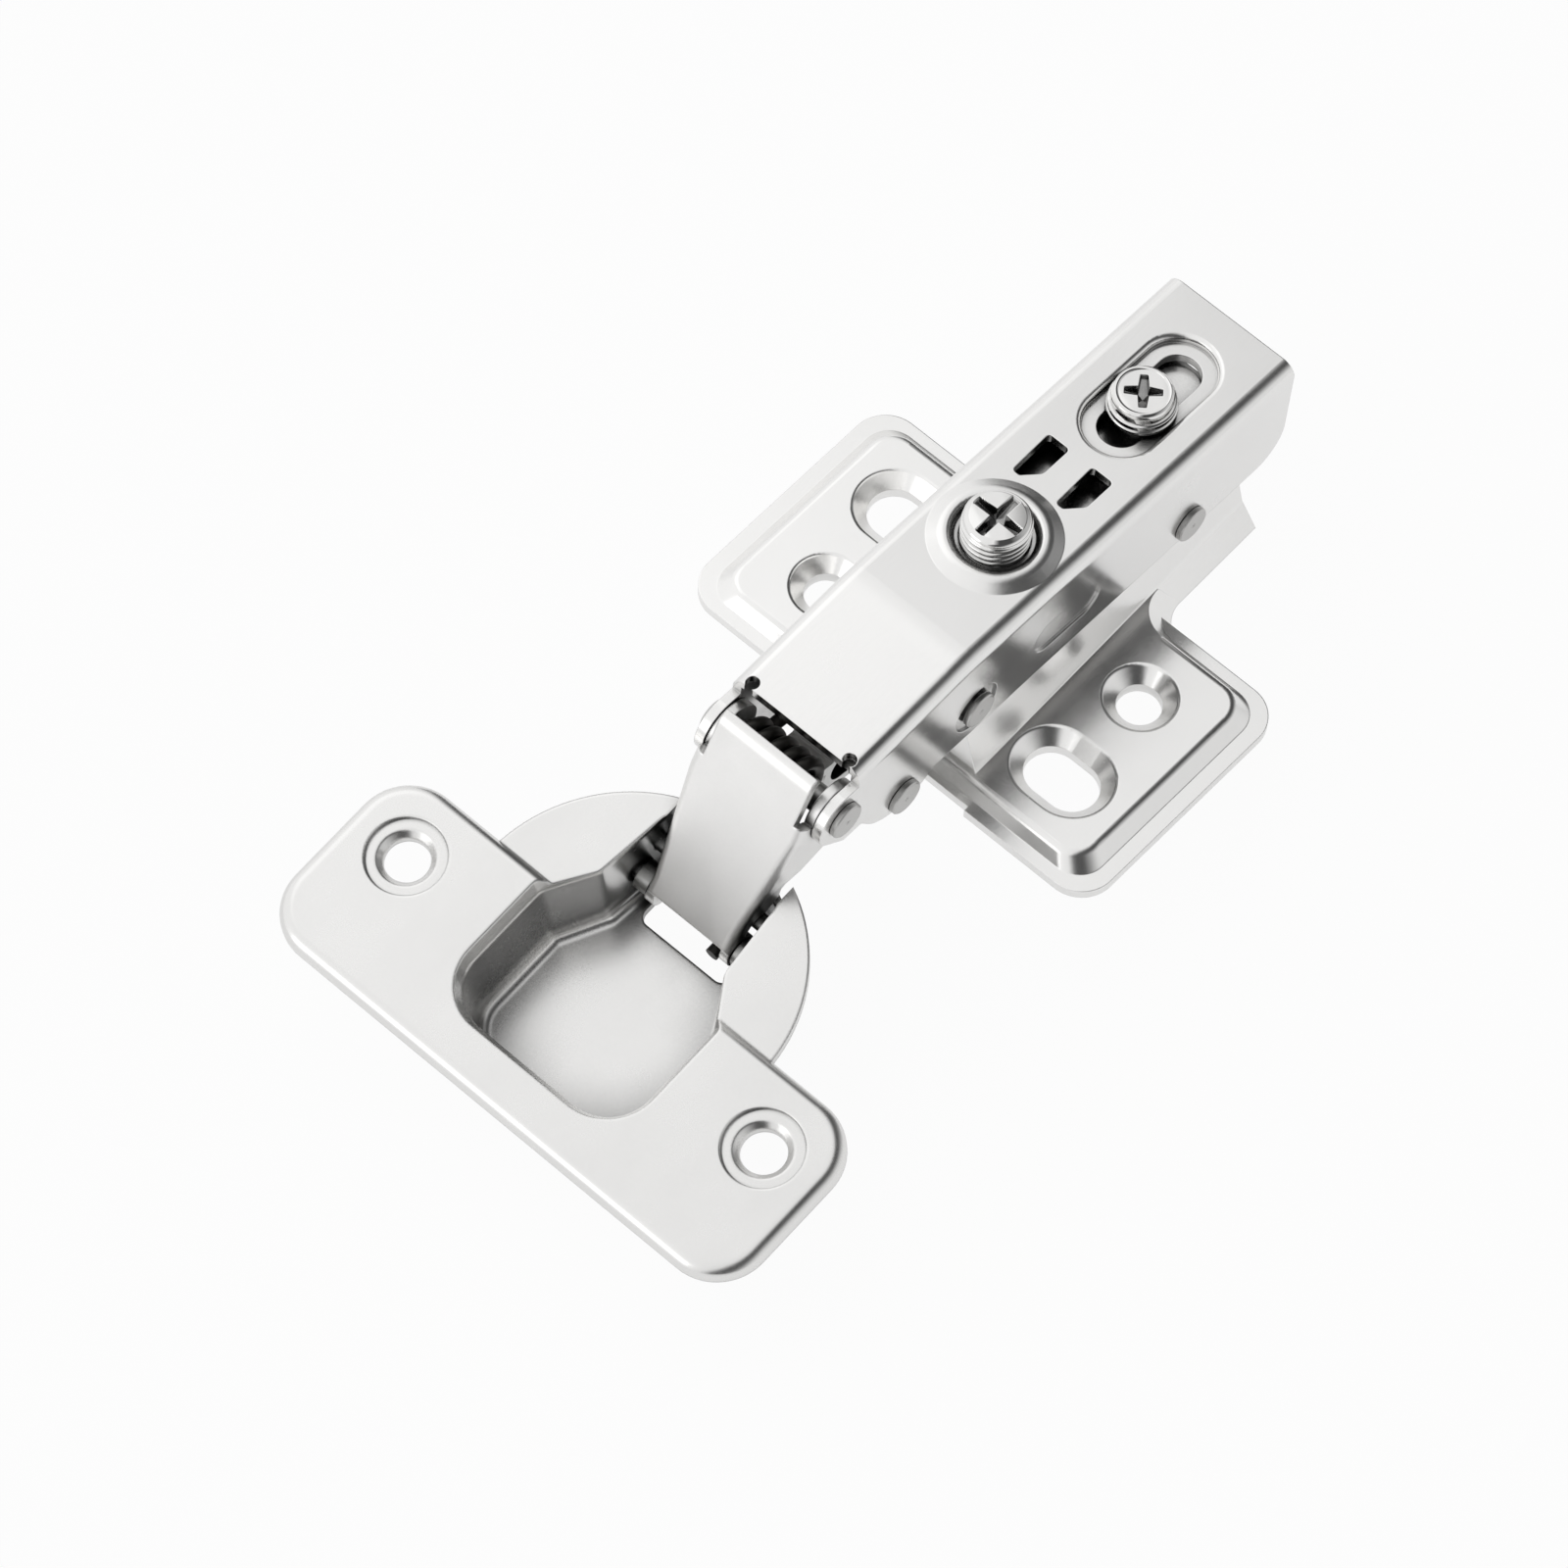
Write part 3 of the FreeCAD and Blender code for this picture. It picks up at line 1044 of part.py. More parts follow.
def make_closing_spring():
    """Build the torsion spring: a coil round the outer arm rivet, an arm leg and a cup leg."""
    radius = size("coil_radius")
    start_x = size("coil_start")
    wire = size("wire_radius")
    clear = size("rivet_radius") + wire + 0.35
    stop = in_world(arm_place, stop_rivet)
    over_link = Vector(0, pivot_b.y, pivot_b.z + clear)
    below_stop = Vector(0, stop.y, stop.z - size("rivet_radius") - wire - 0.05)
    bottom = pivot_a - Vector(0, 0, radius)
    slope = lean(over_link - bottom)
    place = Placement(pivot_a, Rotation(X_AXIS, slope))
    spring = start_piece("closing_spring", place)
    inverse = place.inverse()
    hook = [in_world(cup_place, pair) for pair in ((15.8, -1.2), (15.0, -5.0), (15.0, -9.2), (13.6, -10.4),
                                                     (8.6, -10.3))]
    reach = hook[0] - pivot_a
    leave = lean(reach) % FULL_TURN + math.degrees(math.acos(radius / reach.Length)) - slope
    turns = size("coil_turns") - (leave - 270) / FULL_TURN
    ring = circles(spring, "XZ_Plane", "wire", [(start_x, -radius)], "sizes.wire_radius")
    coil = spring.newObject("PartDesign::AdditiveHelix", "closing_spring_coil")
    coil.Profile = ring
    coil.ReferenceAxis = (ring, ["H_Axis"])
    coil.Mode = 1
    coil.LeftHanded = True
    coil.Turns = turns
    coil.setExpression("Pitch", "sizes.coil_pitch")
    finish(spring, coil, True)
    over = inverse.multVec(over_link)
    below = inverse.multVec(below_stop)
    far = inverse.multVec(below_stop + Vector(0, 1.0, 0))
    wire_leg(spring, "arm_leg", ((0, -radius, 0), (over.y, over.z, 3.0), (below.y, below.z, 2.0),
                                 (far.y, far.z, 0)),
             "sizes.coil_start")
    corners = [inverse.multVec(place_on_hook) for place_on_hook in hook]
    bends = (1.6, 2.5, 1.0, 1.0, 0)
    first = around((0, 0), radius, leave)
    leg = ((first[0], first[1], 0),) + tuple((c.y, c.z, bend) for c, bend in zip(corners, bends))
    wire_leg(spring, "cup_leg", leg, f"sizes.coil_start + sizes.coil_pitch * {turns:.6f}")
    return spring


make_base_plate()
make_arm()
make_cup()
make_outer_link()
make_inner_link()
make_rivet("outer_arm_rivet", Placement(pivot_a, arm_place.Rotation))
make_rivet("inner_arm_rivet", Placement(pivot_b, arm_place.Rotation))
make_rivet("stop_rivet", Placement(in_world(arm_place, stop_rivet), arm_place.Rotation))
make_rivet("rear_tie_rivet", Placement(in_world(arm_place, tie_rivet), arm_place.Rotation))
make_pin("outer_cup_pin", outer_pin, "outer_pin_radius")
make_pin("inner_cup_pin", inner_pin, "inner_pin_radius")
make_bush("cup_pin_bush_left", -1)
make_bush("cup_pin_bush_right", 1)
make_side_screw()
make_clamp_screw()
make_washer()
make_closing_spring()

document.recompute()
for item in document.Objects:
    if "Invalid" in item.State or "Error" in item.State:
        raise RuntimeError(f"{item.Name} did not build: {item.State}")
for piece in pieces:
    if piece.Shape.isNull() or not piece.Shape.isValid() or len(piece.Shape.Solids) != 1:
        raise RuntimeError(f"{piece.Label} is not one valid solid")

os.makedirs("parts", exist_ok=True)
for piece in pieces:
    piece.Shape.exportStep(os.path.join("parts", f"{piece.Label}.step"))
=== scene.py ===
"""Looks of a concealed cabinet hinge: nickel plated sheet, bright screws, dull rivets, a dark spring."""

import logging
import math
from dataclasses import dataclass
from enum import Enum
from functools import cache

import bpy
import numpy as np
from mathutils import Euler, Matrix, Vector

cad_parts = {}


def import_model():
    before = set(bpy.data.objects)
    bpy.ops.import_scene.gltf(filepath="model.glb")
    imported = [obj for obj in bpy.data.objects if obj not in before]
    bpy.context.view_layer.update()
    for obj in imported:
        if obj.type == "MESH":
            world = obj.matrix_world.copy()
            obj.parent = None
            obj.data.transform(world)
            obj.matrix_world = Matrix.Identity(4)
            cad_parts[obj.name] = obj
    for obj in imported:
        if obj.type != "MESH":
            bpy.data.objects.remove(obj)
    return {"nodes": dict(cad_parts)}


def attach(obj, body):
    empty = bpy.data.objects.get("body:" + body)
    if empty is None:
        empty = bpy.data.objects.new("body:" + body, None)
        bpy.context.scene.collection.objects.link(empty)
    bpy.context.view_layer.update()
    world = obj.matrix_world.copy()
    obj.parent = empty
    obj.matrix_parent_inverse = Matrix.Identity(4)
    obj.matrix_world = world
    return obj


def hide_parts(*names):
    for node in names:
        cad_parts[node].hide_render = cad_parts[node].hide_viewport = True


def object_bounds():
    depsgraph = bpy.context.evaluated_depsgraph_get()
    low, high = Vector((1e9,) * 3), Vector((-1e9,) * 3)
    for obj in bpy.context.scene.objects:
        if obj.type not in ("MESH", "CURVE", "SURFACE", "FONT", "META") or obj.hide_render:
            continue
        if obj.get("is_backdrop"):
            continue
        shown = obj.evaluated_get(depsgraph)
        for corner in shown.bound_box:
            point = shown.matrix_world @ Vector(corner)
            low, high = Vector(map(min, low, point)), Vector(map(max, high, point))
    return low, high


LOG = logging.getLogger("hinge")
MM = 0.001
WHITE = (1.0, 1.0, 1.0, 1.0)

# Nearly all of a noise's values lie between these two.
PATTERN_LOW, PATTERN_HIGH = 0.3, 0.7

# How many rays find the worn edges of the plate and the painted shade in its corners.
EDGE_AND_SHADE_SAMPLES = 8

# Where the Mix node keeps its factor and its two colours, and where it gives the result.
COLOUR_MIX_INPUTS = (0, 6, 7)
COLOUR_MIX_OUTPUT = 2

Triple = tuple[float, float, float]
Socket = bpy.types.NodeSocket


class Grain(Enum):
    """How a plated surface was made. The value stretches the cycles of its grain along X, Y and Z."""

    ROLLED = (1.0, 0.22, 1.0)
    DRAWN = (1.0, 1.0, 1.0)
    TURNED = (0.5, 0.5, 2.0)


class NodeBuilder:
    """A short way to write the nodes of a material or of the world."""

    def __init__(self, owner: bpy.types.Material | bpy.types.World) -> None:
        """Start an empty node tree.

        Args:
            owner: The new material or world.
        """
        self.owner = owner
        owner.use_nodes = True
        self.tree = owner.node_tree
        self.tree.nodes.clear()
        kind = "World" if isinstance(owner, bpy.types.World) else "Material"
        self.output = self.add(f"Output{kind}")

    def fill(self, socket: Socket, value: object) -> None:
        """Give an input its value.

        Args:
            socket: The input.
            value: A plain value, or the output socket to link.
        """
        if isinstance(value, Socket):
            self.tree.links.new(value, socket)
        else:
            socket.default_value = value

    def add(self, kind: str, **sockets: object) -> bpy.types.Node:
        """Add a node and fill its sockets by name.

        Args:
            kind: The node's type, without its ShaderNode prefix.
            sockets: Values or output sockets, named as the node's inputs with _ for spaces.

        Returns:
            The new node.
        """
        node = self.tree.nodes.new(f"ShaderNode{kind}")
        for name, value in sockets.items():
            self.fill(node.inputs[name.replace("_", " ")], value)
        return node

    def feed(self, node: bpy.types.Node, *values: object) -> bpy.types.Node:
        """Fill a node's first inputs in their order.

        Args:
            node: The node.
            values: Values or output sockets.

        Returns:
            The same node.
        """
        for index, value in enumerate(values):
            self.fill(node.inputs[index], value)
        return node

    def maths(self, operation: str, first: object, second: object) -> Socket:
        """Add a Math node.

        Args:
            operation: The node's operation.
            first: The first value or socket.
            second: The second value or socket.

        Returns:
            The result's socket.
        """
        node = self.feed(self.add("Math"), first, second)
        node.operation = operation
        return node.outputs[0]

    def noise(self, scale: Triple, detail: float, roughness: float) -> Socket:
        """Return a noise over the object's coordinates, about one repeat per cycle of the scale.

        Args:
            scale: Cycles per metre along X, Y and Z.
            detail: The noise's octaves.
            roughness: How strong the finer octaves are.

        Returns:
            The factor's socket, from 0 to 1.
        """
        place = self.add("Mapping", Vector=self.add("TexCoord").outputs["Object"], Scale=scale)
        node = self.add("TexNoise", Vector=place.outputs["Vector"], Scale=1.0, Detail=detail,
                        Roughness=roughness)
        return node.outputs[0]

    def spread(self, factor: Socket, low: float, high: float) -> Socket:
        """Stretch a pattern to a range.

        Args:
            factor: The pattern.
            low: The value at the pattern's low end.
            high: The value at its high end.

        Returns:
            The result's socket.
        """
        node = self.add("MapRange", Value=factor, From_Min=PATTERN_LOW, From_Max=PATTERN_HIGH,
                        To_Min=low, To_Max=high)
        return node.outputs[0]

    def bump(self, height: Socket, depth_mm: float, strength: float, under: Socket | None = None) -> Socket:
        """Add a bump over an optional coarser one.

        Args:
            height: The height pattern, 0 to 1.
            depth_mm: The pattern's depth in millimetres.
            strength: How much of it shows.
            under: A coarser bump's normal.

        Returns:
            The normal's socket.
        """
        node = self.add("Bump", Height=height, Distance=depth_mm * MM, Strength=strength)
        if under is not None:
            self.fill(node.inputs["Normal"], under)
        return node.outputs["Normal"]

    def plain_white(self, camera: float, mirrored: float) -> Socket:
        """Return how much plain white a ray finds where it ends.

        Args:
            camera: The share that the camera sees.
            mirrored: The share that metal and glass mirror.

        Returns:
            The share's socket.
        """
        path = self.add("LightPath")
        mirror = self.maths("MAXIMUM", path.outputs["Is Glossy Ray"], path.outputs["Is Transmission Ray"])
        direct = self.maths("MULTIPLY", path.outputs["Is Camera Ray"], camera)
        return self.maths("MAXIMUM", direct, self.maths("MULTIPLY", mirror, mirrored))

    def finish(self, shader: bpy.types.Node) -> bpy.types.Material | bpy.types.World:
        """Connect the surface and return the material or the world."""
        self.fill(self.output.inputs["Surface"], shader.outputs[0])
        return self.owner


@dataclass(frozen=True)
class PlatedSteel:
    """Nickel plated steel.

    Attributes:
        name: The material's name.
        tint: The metal's colour.
        gloss_low: Roughness where the plate is smoothest.
        gloss_high: Roughness where it is dullest.
        grain: How the surface was made.
        grain_mm: Size of the finest grain.
        grain_depth: Depth of the grain in millimetres.
        edge_mm: Radius of the smallest worn edges, in millimetres.
        colour_left_in_painted_shade: How much colour is left in the deepest corners, where the painted
            shade is darkest.
        painted_shade_reach_mm: How wide a corner still counts as one for the painted shade, in millimetres.
        clouds: Cycles per metre of the cloudy colour and gloss.
        cloud_tone: How much the clouds lighten or darken the colour.
        waves: Cycles per metre of the sheet's slow waves.
        wave_depth: Depth of the waves in millimetres.
        speck_share: Cycles of the specks for one cycle of the grain.
        speck_tone: How much the specks lighten or darken the colour.
        speck_gloss: How much the specks change the roughness.
    """

    name: str
    tint: Triple
    gloss_low: float
    gloss_high: float
    grain: Grain
    grain_mm: float
    grain_depth: float = 0.004
    edge_mm: float = 0.14
    colour_left_in_painted_shade: float = 0.25
    painted_shade_reach_mm: float = 5.0
    clouds: Triple = (90.0, 60.0, 90.0)
    cloud_tone: float = 0.03
    waves: Triple = (60.0, 45.0, 60.0)
    wave_depth: float = 0.02
    speck_share: float = 0.45
    speck_tone: float = 0.012
    speck_gloss: float = 0.015

    @cache
    def material(self) -> bpy.types.Material:
        """Build the material once: fine grain, slow waves, cloudy colour and gloss, painted shade in
        corners.

        Returns:
            The material.
        """
        nodes = NodeBuilder(bpy.data.materials.new(self.name))
        fine = 1.0 / MM / self.grain_mm
        grain = nodes.noise(tuple(fine * share for share in self.grain.value), detail=3.0, roughness=0.6)
        cloud = nodes.noise(self.clouds, detail=3.0, roughness=0.55)
        wave = nodes.noise(self.waves, detail=1.0, roughness=0.4)
        specks = nodes.noise((fine * self.speck_share,) * 3, detail=4.0, roughness=0.7)
        tone = nodes.maths("ADD", nodes.spread(cloud, -self.cloud_tone, self.cloud_tone),
                           nodes.spread(specks, -self.speck_tone, self.speck_tone))
        # Painted shade: ambient occlusion darkens the colour in corners, recesses and gaps between parts.
        corner = nodes.add("AmbientOcclusion", Distance=self.painted_shade_reach_mm * MM)
        corner.samples = EDGE_AND_SHADE_SAMPLES
        painted_shade_factor = nodes.spread(corner.outputs["AO"], self.colour_left_in_painted_shade, 1.0)
        value = nodes.maths("MULTIPLY", nodes.maths("ADD", tone, 1.0), painted_shade_factor)
        colour = nodes.add("HueSaturation", Color=(*self.tint, 1.0), Value=value)
        gloss = nodes.maths("ADD", nodes.spread(cloud, self.gloss_low, self.gloss_high),
                            nodes.spread(specks, -self.speck_gloss, self.speck_gloss))
        worn = nodes.add("Bevel", Radius=self.edge_mm * MM)
        worn.samples = EDGE_AND_SHADE_SAMPLES
        normal = nodes.bump(wave, self.wave_depth, strength=0.35, under=worn.outputs["Normal"])
        normal = nodes.bump(grain, self.grain_depth, strength=0.8, under=normal)
        shader = nodes.add("BsdfPrincipled", Base_Color=colour.outputs[0], Metallic=1.0, Roughness=gloss,
                           Normal=normal)
        return nodes.finish(shader)


@dataclass(frozen=True)
class DarkWire:
    """Oil-tempered spring wire: nearly black, with faint draw lines and a thin film of oil.

    Attributes:
        name: The material's name.
        tint: The wire's colour.
        roughness: How dull it is.
        clouds: Cycles per metre of the oil's film.
        film_tone: What the film multiplies the colour by, at its darkest and its lightest.
        film_gloss: What the film adds to the roughness, at its wettest and its driest.
        lines: Cycles per metre of the draw lines.
        line_depth: Depth of the draw lines in millimetres.
        metallic: How much of the wire's surface is bare metal.
    """

    name: str
    tint: Triple
    roughness: float
    clouds: Triple = (400.0, 400.0, 400.0)
    film_tone: tuple[float, float] = (0.7, 1.3)
    film_gloss: tuple[float, float] = (-0.08, 0.1)
    lines: Triple = (5000.0, 900.0, 900.0)
    line_depth: float = 0.006
    metallic: float = 0.85

    @cache
    def material(self) -> bpy.types.Material:
        """Build the material once.

        Returns:
            The material.
        """
        nodes = NodeBuilder(bpy.data.materials.new(self.name))
        film = nodes.noise(self.clouds, detail=4.0, roughness=0.6)
        lines = nodes.noise(self.lines, detail=3.0, roughness=0.6)
        tone = nodes.spread(film, *self.film_tone)
        colour = nodes.add("HueSaturation", Color=(*self.tint, 1.0), Value=tone)
        wet, dry = self.film_gloss
        gloss = nodes.spread(film, self.roughness + wet, self.roughness + dry)
        shader = nodes.add("BsdfPrincipled", Base_Color=colour.outputs[0], Metallic=self.metallic,
                           Roughness=gloss, Normal=nodes.bump(lines, self.line_depth, strength=0.7))
        return nodes.finish(shader)


@dataclass
class Dressing:
    """The CAD nodes of a sub-assembly, which keep their shape and get a finish.

    Attributes:
        title: The sub-assembly's name.
        finishes: The finish of each node.
    """

    title: str
    finishes: dict[str, PlatedSteel | DarkWire]

    def dress(self, nodes: dict[str, bpy.types.Object]) -> None:
        """Give each node its finish.

        Args:
            nodes: The CAD nodes by name.
        """
        for name, finish in self.finishes.items():
            materials = nodes[name].data.materials
            materials.clear()
            materials.append(finish.material())
            LOG.info("%s: %s wears %s", self.title, name, finish.name)


def turned_shell(name: str, rings: np.ndarray) -> bpy.types.Object:
    """Make a closed smooth mesh from rings of points, each joined to the next and to itself.

    Point (i, j) of the grid is joined to (i + 1, j) and (i, j + 1), counted round the ring, and the
    first and last rings are each closed by triangles to their mean point.

    Args:
        name: The piece's name.
        rings: Points in metres, of shape (rings, points round, 3), counter-clockwise and going up.

    Returns:
        The new object.
    """
    count, around, _ = rings.shape
    index = np.arange(count * around).reshape(count, around)
    following = np.roll(index, -1, axis=1)
    quads = np.stack([index[:-1], following[:-1], following[1:], index[1:]], axis=-1).reshape(-1, 4)
    bottom = count * around
    top = bottom + 1
    low_fan = np.stack([following[0], index[0], np.full(around, bottom)], axis=-1)
    high_fan = np.stack([index[-1], following[-1], np.full(around, top)], axis=-1)
    points = np.vstack([rings.reshape(-1, 3), rings[0].mean(axis=0), rings[-1].mean(axis=0)])
    mesh = bpy.data.meshes.new(name)
    mesh.from_pydata(points.tolist(), [], quads.tolist() + low_fan.tolist() + high_fan.tolist())
    mesh.polygons.foreach_set("use_smooth", np.ones(len(mesh.polygons), dtype=bool))
    mesh.update()
    piece = bpy.data.objects.new(name, mesh)
    bpy.context.collection.objects.link(piece)
    return piece


def eased(values: np.ndarray) -> np.ndarray:
    """Return the smooth step 3t^2 - 2t^3 of values held between 0 and 1."""
    held = np.clip(values, 0.0, 1.0)
    return held * held * (3.0 - 2.0 * held)


def steps(corners: list[tuple[float, float]], spacing: float) -> np.ndarray:
    """Divide the runs of a profile evenly, as first * (1 - share) + last * share.

    Args:
        corners: The (radius, height) corners of the profile, going up.
        spacing: The longest step, in the same unit.

    Returns:
        The points, of shape (count, 2).
    """
    runs = []
    for first, last in zip(corners[:-1], corners[1:]):
        length = math.dist(first, last)
        share = np.linspace(0.0, 1.0, max(1, math.ceil(length / spacing)), endpoint=False)[:, None]
        runs.append(np.array(first) * (1.0 - share) + np.array(last) * share)
    runs.append(np.array([corners[-1]]))
    return np.vstack(runs)


@dataclass
class Screw:
    """A turned screw with a helical thread and a cross recess, standing on its own axis.

    Lengths are in millimetres.

    Attributes:
        name: The piece's name.
        node: The CAD node that it stands for.
        body: The body that it rides on.
        finish: Its finish.
        profile: (radius, height) corners from the foot up to the rim of the top face.
        thread: The lowest and highest height of the thread.
        place: The place of the screw's zero height.
        lean: The screw's lean about X, in degrees.
        pitch: The thread's pitch.
        thread_depth: The thread's depth.
        flank_slope: How steep the thread's rounded V is; above 1 its crest and root get wider.
        crest_width: How much of that goes to the crest.
        dome: How much the middle of the top face stands above its rim.
        arm_length: Half the length of the cross recess.
        arm_width: Half its width at the middle.
        arm_taper: How much narrower the recess gets per millimetre of its length.
        recess_depth: Its depth at the middle.
        recess_rise: How much its floor rises per millimetre of its length.
        recess_turn: The recess's turn about the axis, in degrees.
        wall: How far the recess's walls lean over their height.
        around: Points round each ring.
        ring_step: The longest step from ring to ring along the profile.
        face_rings: Rings on the top face.
        hub: The innermost ring's radius, as a share of the rim's.
    """

    name: str
    node: str
    body: str
    finish: PlatedSteel
    profile: list[tuple[float, float]]
    thread: tuple[float, float]
    place: Triple
    lean: float = 0.0
    pitch: float = 0.8
    thread_depth: float = 0.5
    flank_slope: float = 1.25
    crest_width: float = 0.1
    dome: float = 0.0
    arm_length: float = 2.0
    arm_width: float = 0.6
    arm_taper: float = 0.1
    recess_depth: float = 1.5
    recess_rise: float = 0.3
    recess_turn: float = 0.0
    wall: float = 0.10
    around: int = 240
    ring_step: float = 0.08
    face_rings: int = 120
    hub: float = 0.004

    def side(self, turn: np.ndarray) -> np.ndarray:
        """Return the rings of the screw's side.

        The radius is the profile's, less the thread's depth times a rounded V of the fraction of
        height / pitch - turn, eased in and out over one pitch at the thread's ends.

        Args:
            turn: The angles round the ring, as shares of a full turn.

        Returns:
            Points in millimetres, of shape (rings, around, 3).
        """
        profile = steps(self.profile, self.ring_step)
        radius = profile[:, :1]
        height = np.repeat(profile[:, 1:], self.around, axis=1)
        phase = np.mod(height / self.pitch - turn, 1.0)
        valley = eased(self.flank_slope * np.abs(2.0 * phase - 1.0) - self.crest_width)
        low, high = self.thread
        run = eased((height - low) / self.pitch) * eased((high - height) / self.pitch)
        flank = radius - self.thread_depth * valley * run
        angle = 2.0 * np.pi * turn
        return np.stack([flank * np.cos(angle), flank * np.sin(angle), height], axis=-1)

    def top(self, turn: np.ndarray) -> np.ndarray:
        """Return the rings of the top face, from its rim to its middle.

        Each ring is the rim's circle scaled down. Its height is the rim's plus a shallow dome, less
        the recess: inside a cross whose arms narrow outwards, the floor lies at the full depth in
        the middle and rises along each arm.

        Args:
            turn: The angles round the ring, as shares of a full turn.

        Returns:
            Points in millimetres, of shape (rings, around, 3).
        """
        rim, height = self.profile[-1]
        share = np.linspace(1.0, self.hub, self.face_rings)[1:, None]
        radius = rim * share
        angle = 2.0 * np.pi * turn
        x = radius * np.cos(angle)
        y = radius * np.sin(angle)
        tilt = math.radians(self.recess_turn)
        first = np.abs(x * math.cos(tilt) + y * math.sin(tilt))
        second = np.abs(y * math.cos(tilt) - x * math.sin(tilt))
        along = np.maximum(first, second)
        across = np.minimum(first, second)
        inside = eased((self.arm_width - self.arm_taper * along - across) / self.wall + 0.5)
        inside = inside * eased((self.arm_length - along) / self.wall + 0.5)
        depth = np.maximum(self.recess_depth - self.recess_rise * along, 0.0)
        level = height + self.dome * (1.0 - share ** 2) - inside * depth
        return np.stack([x, y, level], axis=-1)

    def leant(self, rings: np.ndarray) -> np.ndarray:
        """Turn points about X by the lean, then move them to the screw's place.

        Across becomes y cos - z sin and up becomes y sin + z cos.

        Args:
            rings: Points in millimetres on the screw's own axis, of shape (rings, around, 3).

        Returns:
            The points in millimetres where the screw stands.
        """
        lean = math.radians(self.lean)
        x, y, z = rings[..., 0], rings[..., 1], rings[..., 2]
        across = y * math.cos(lean) - z * math.sin(lean)
        up = y * math.sin(lean) + z * math.cos(lean)
        return np.stack([x, across, up], axis=-1) + np.array(self.place)

    def build(self) -> None:
        turn = np.arange(self.around)[None, :] / self.around
        rings = np.concatenate([self.side(turn), self.top(turn)])
        piece = turned_shell(self.name, self.leant(rings) * MM)
        piece.data.materials.append(self.finish.material())
        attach(piece, self.body)
        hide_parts(self.node)
        LOG.info("%s: %d faces stand for %s", self.name, len(piece.data.polygons), self.node)


@dataclass(frozen=True)
class Lamp:
    """A square soft lamp.

    Attributes:
        name: The lamp's name.
        place: Its place in metres.
        side: The length of its side in metres.
        power: Its power in watts.
    """

    name: str
    place: Triple
    side: float
    power: float

    def hang(self, target: Triple) -> None:
        """Hang the lamp so that it looks at a point.

        Args:
            target: The point in metres.
        """
        data = bpy.data.lights.new(self.name, "AREA")
        data.size = self.side
        data.energy = self.power
        lamp = bpy.data.objects.new(self.name, data)
        lamp.location = self.place
        lamp.rotation_euler = (Vector(target) - Vector(self.place)).to_track_quat("-Z", "Y").to_euler()
        bpy.context.collection.objects.link(lamp)


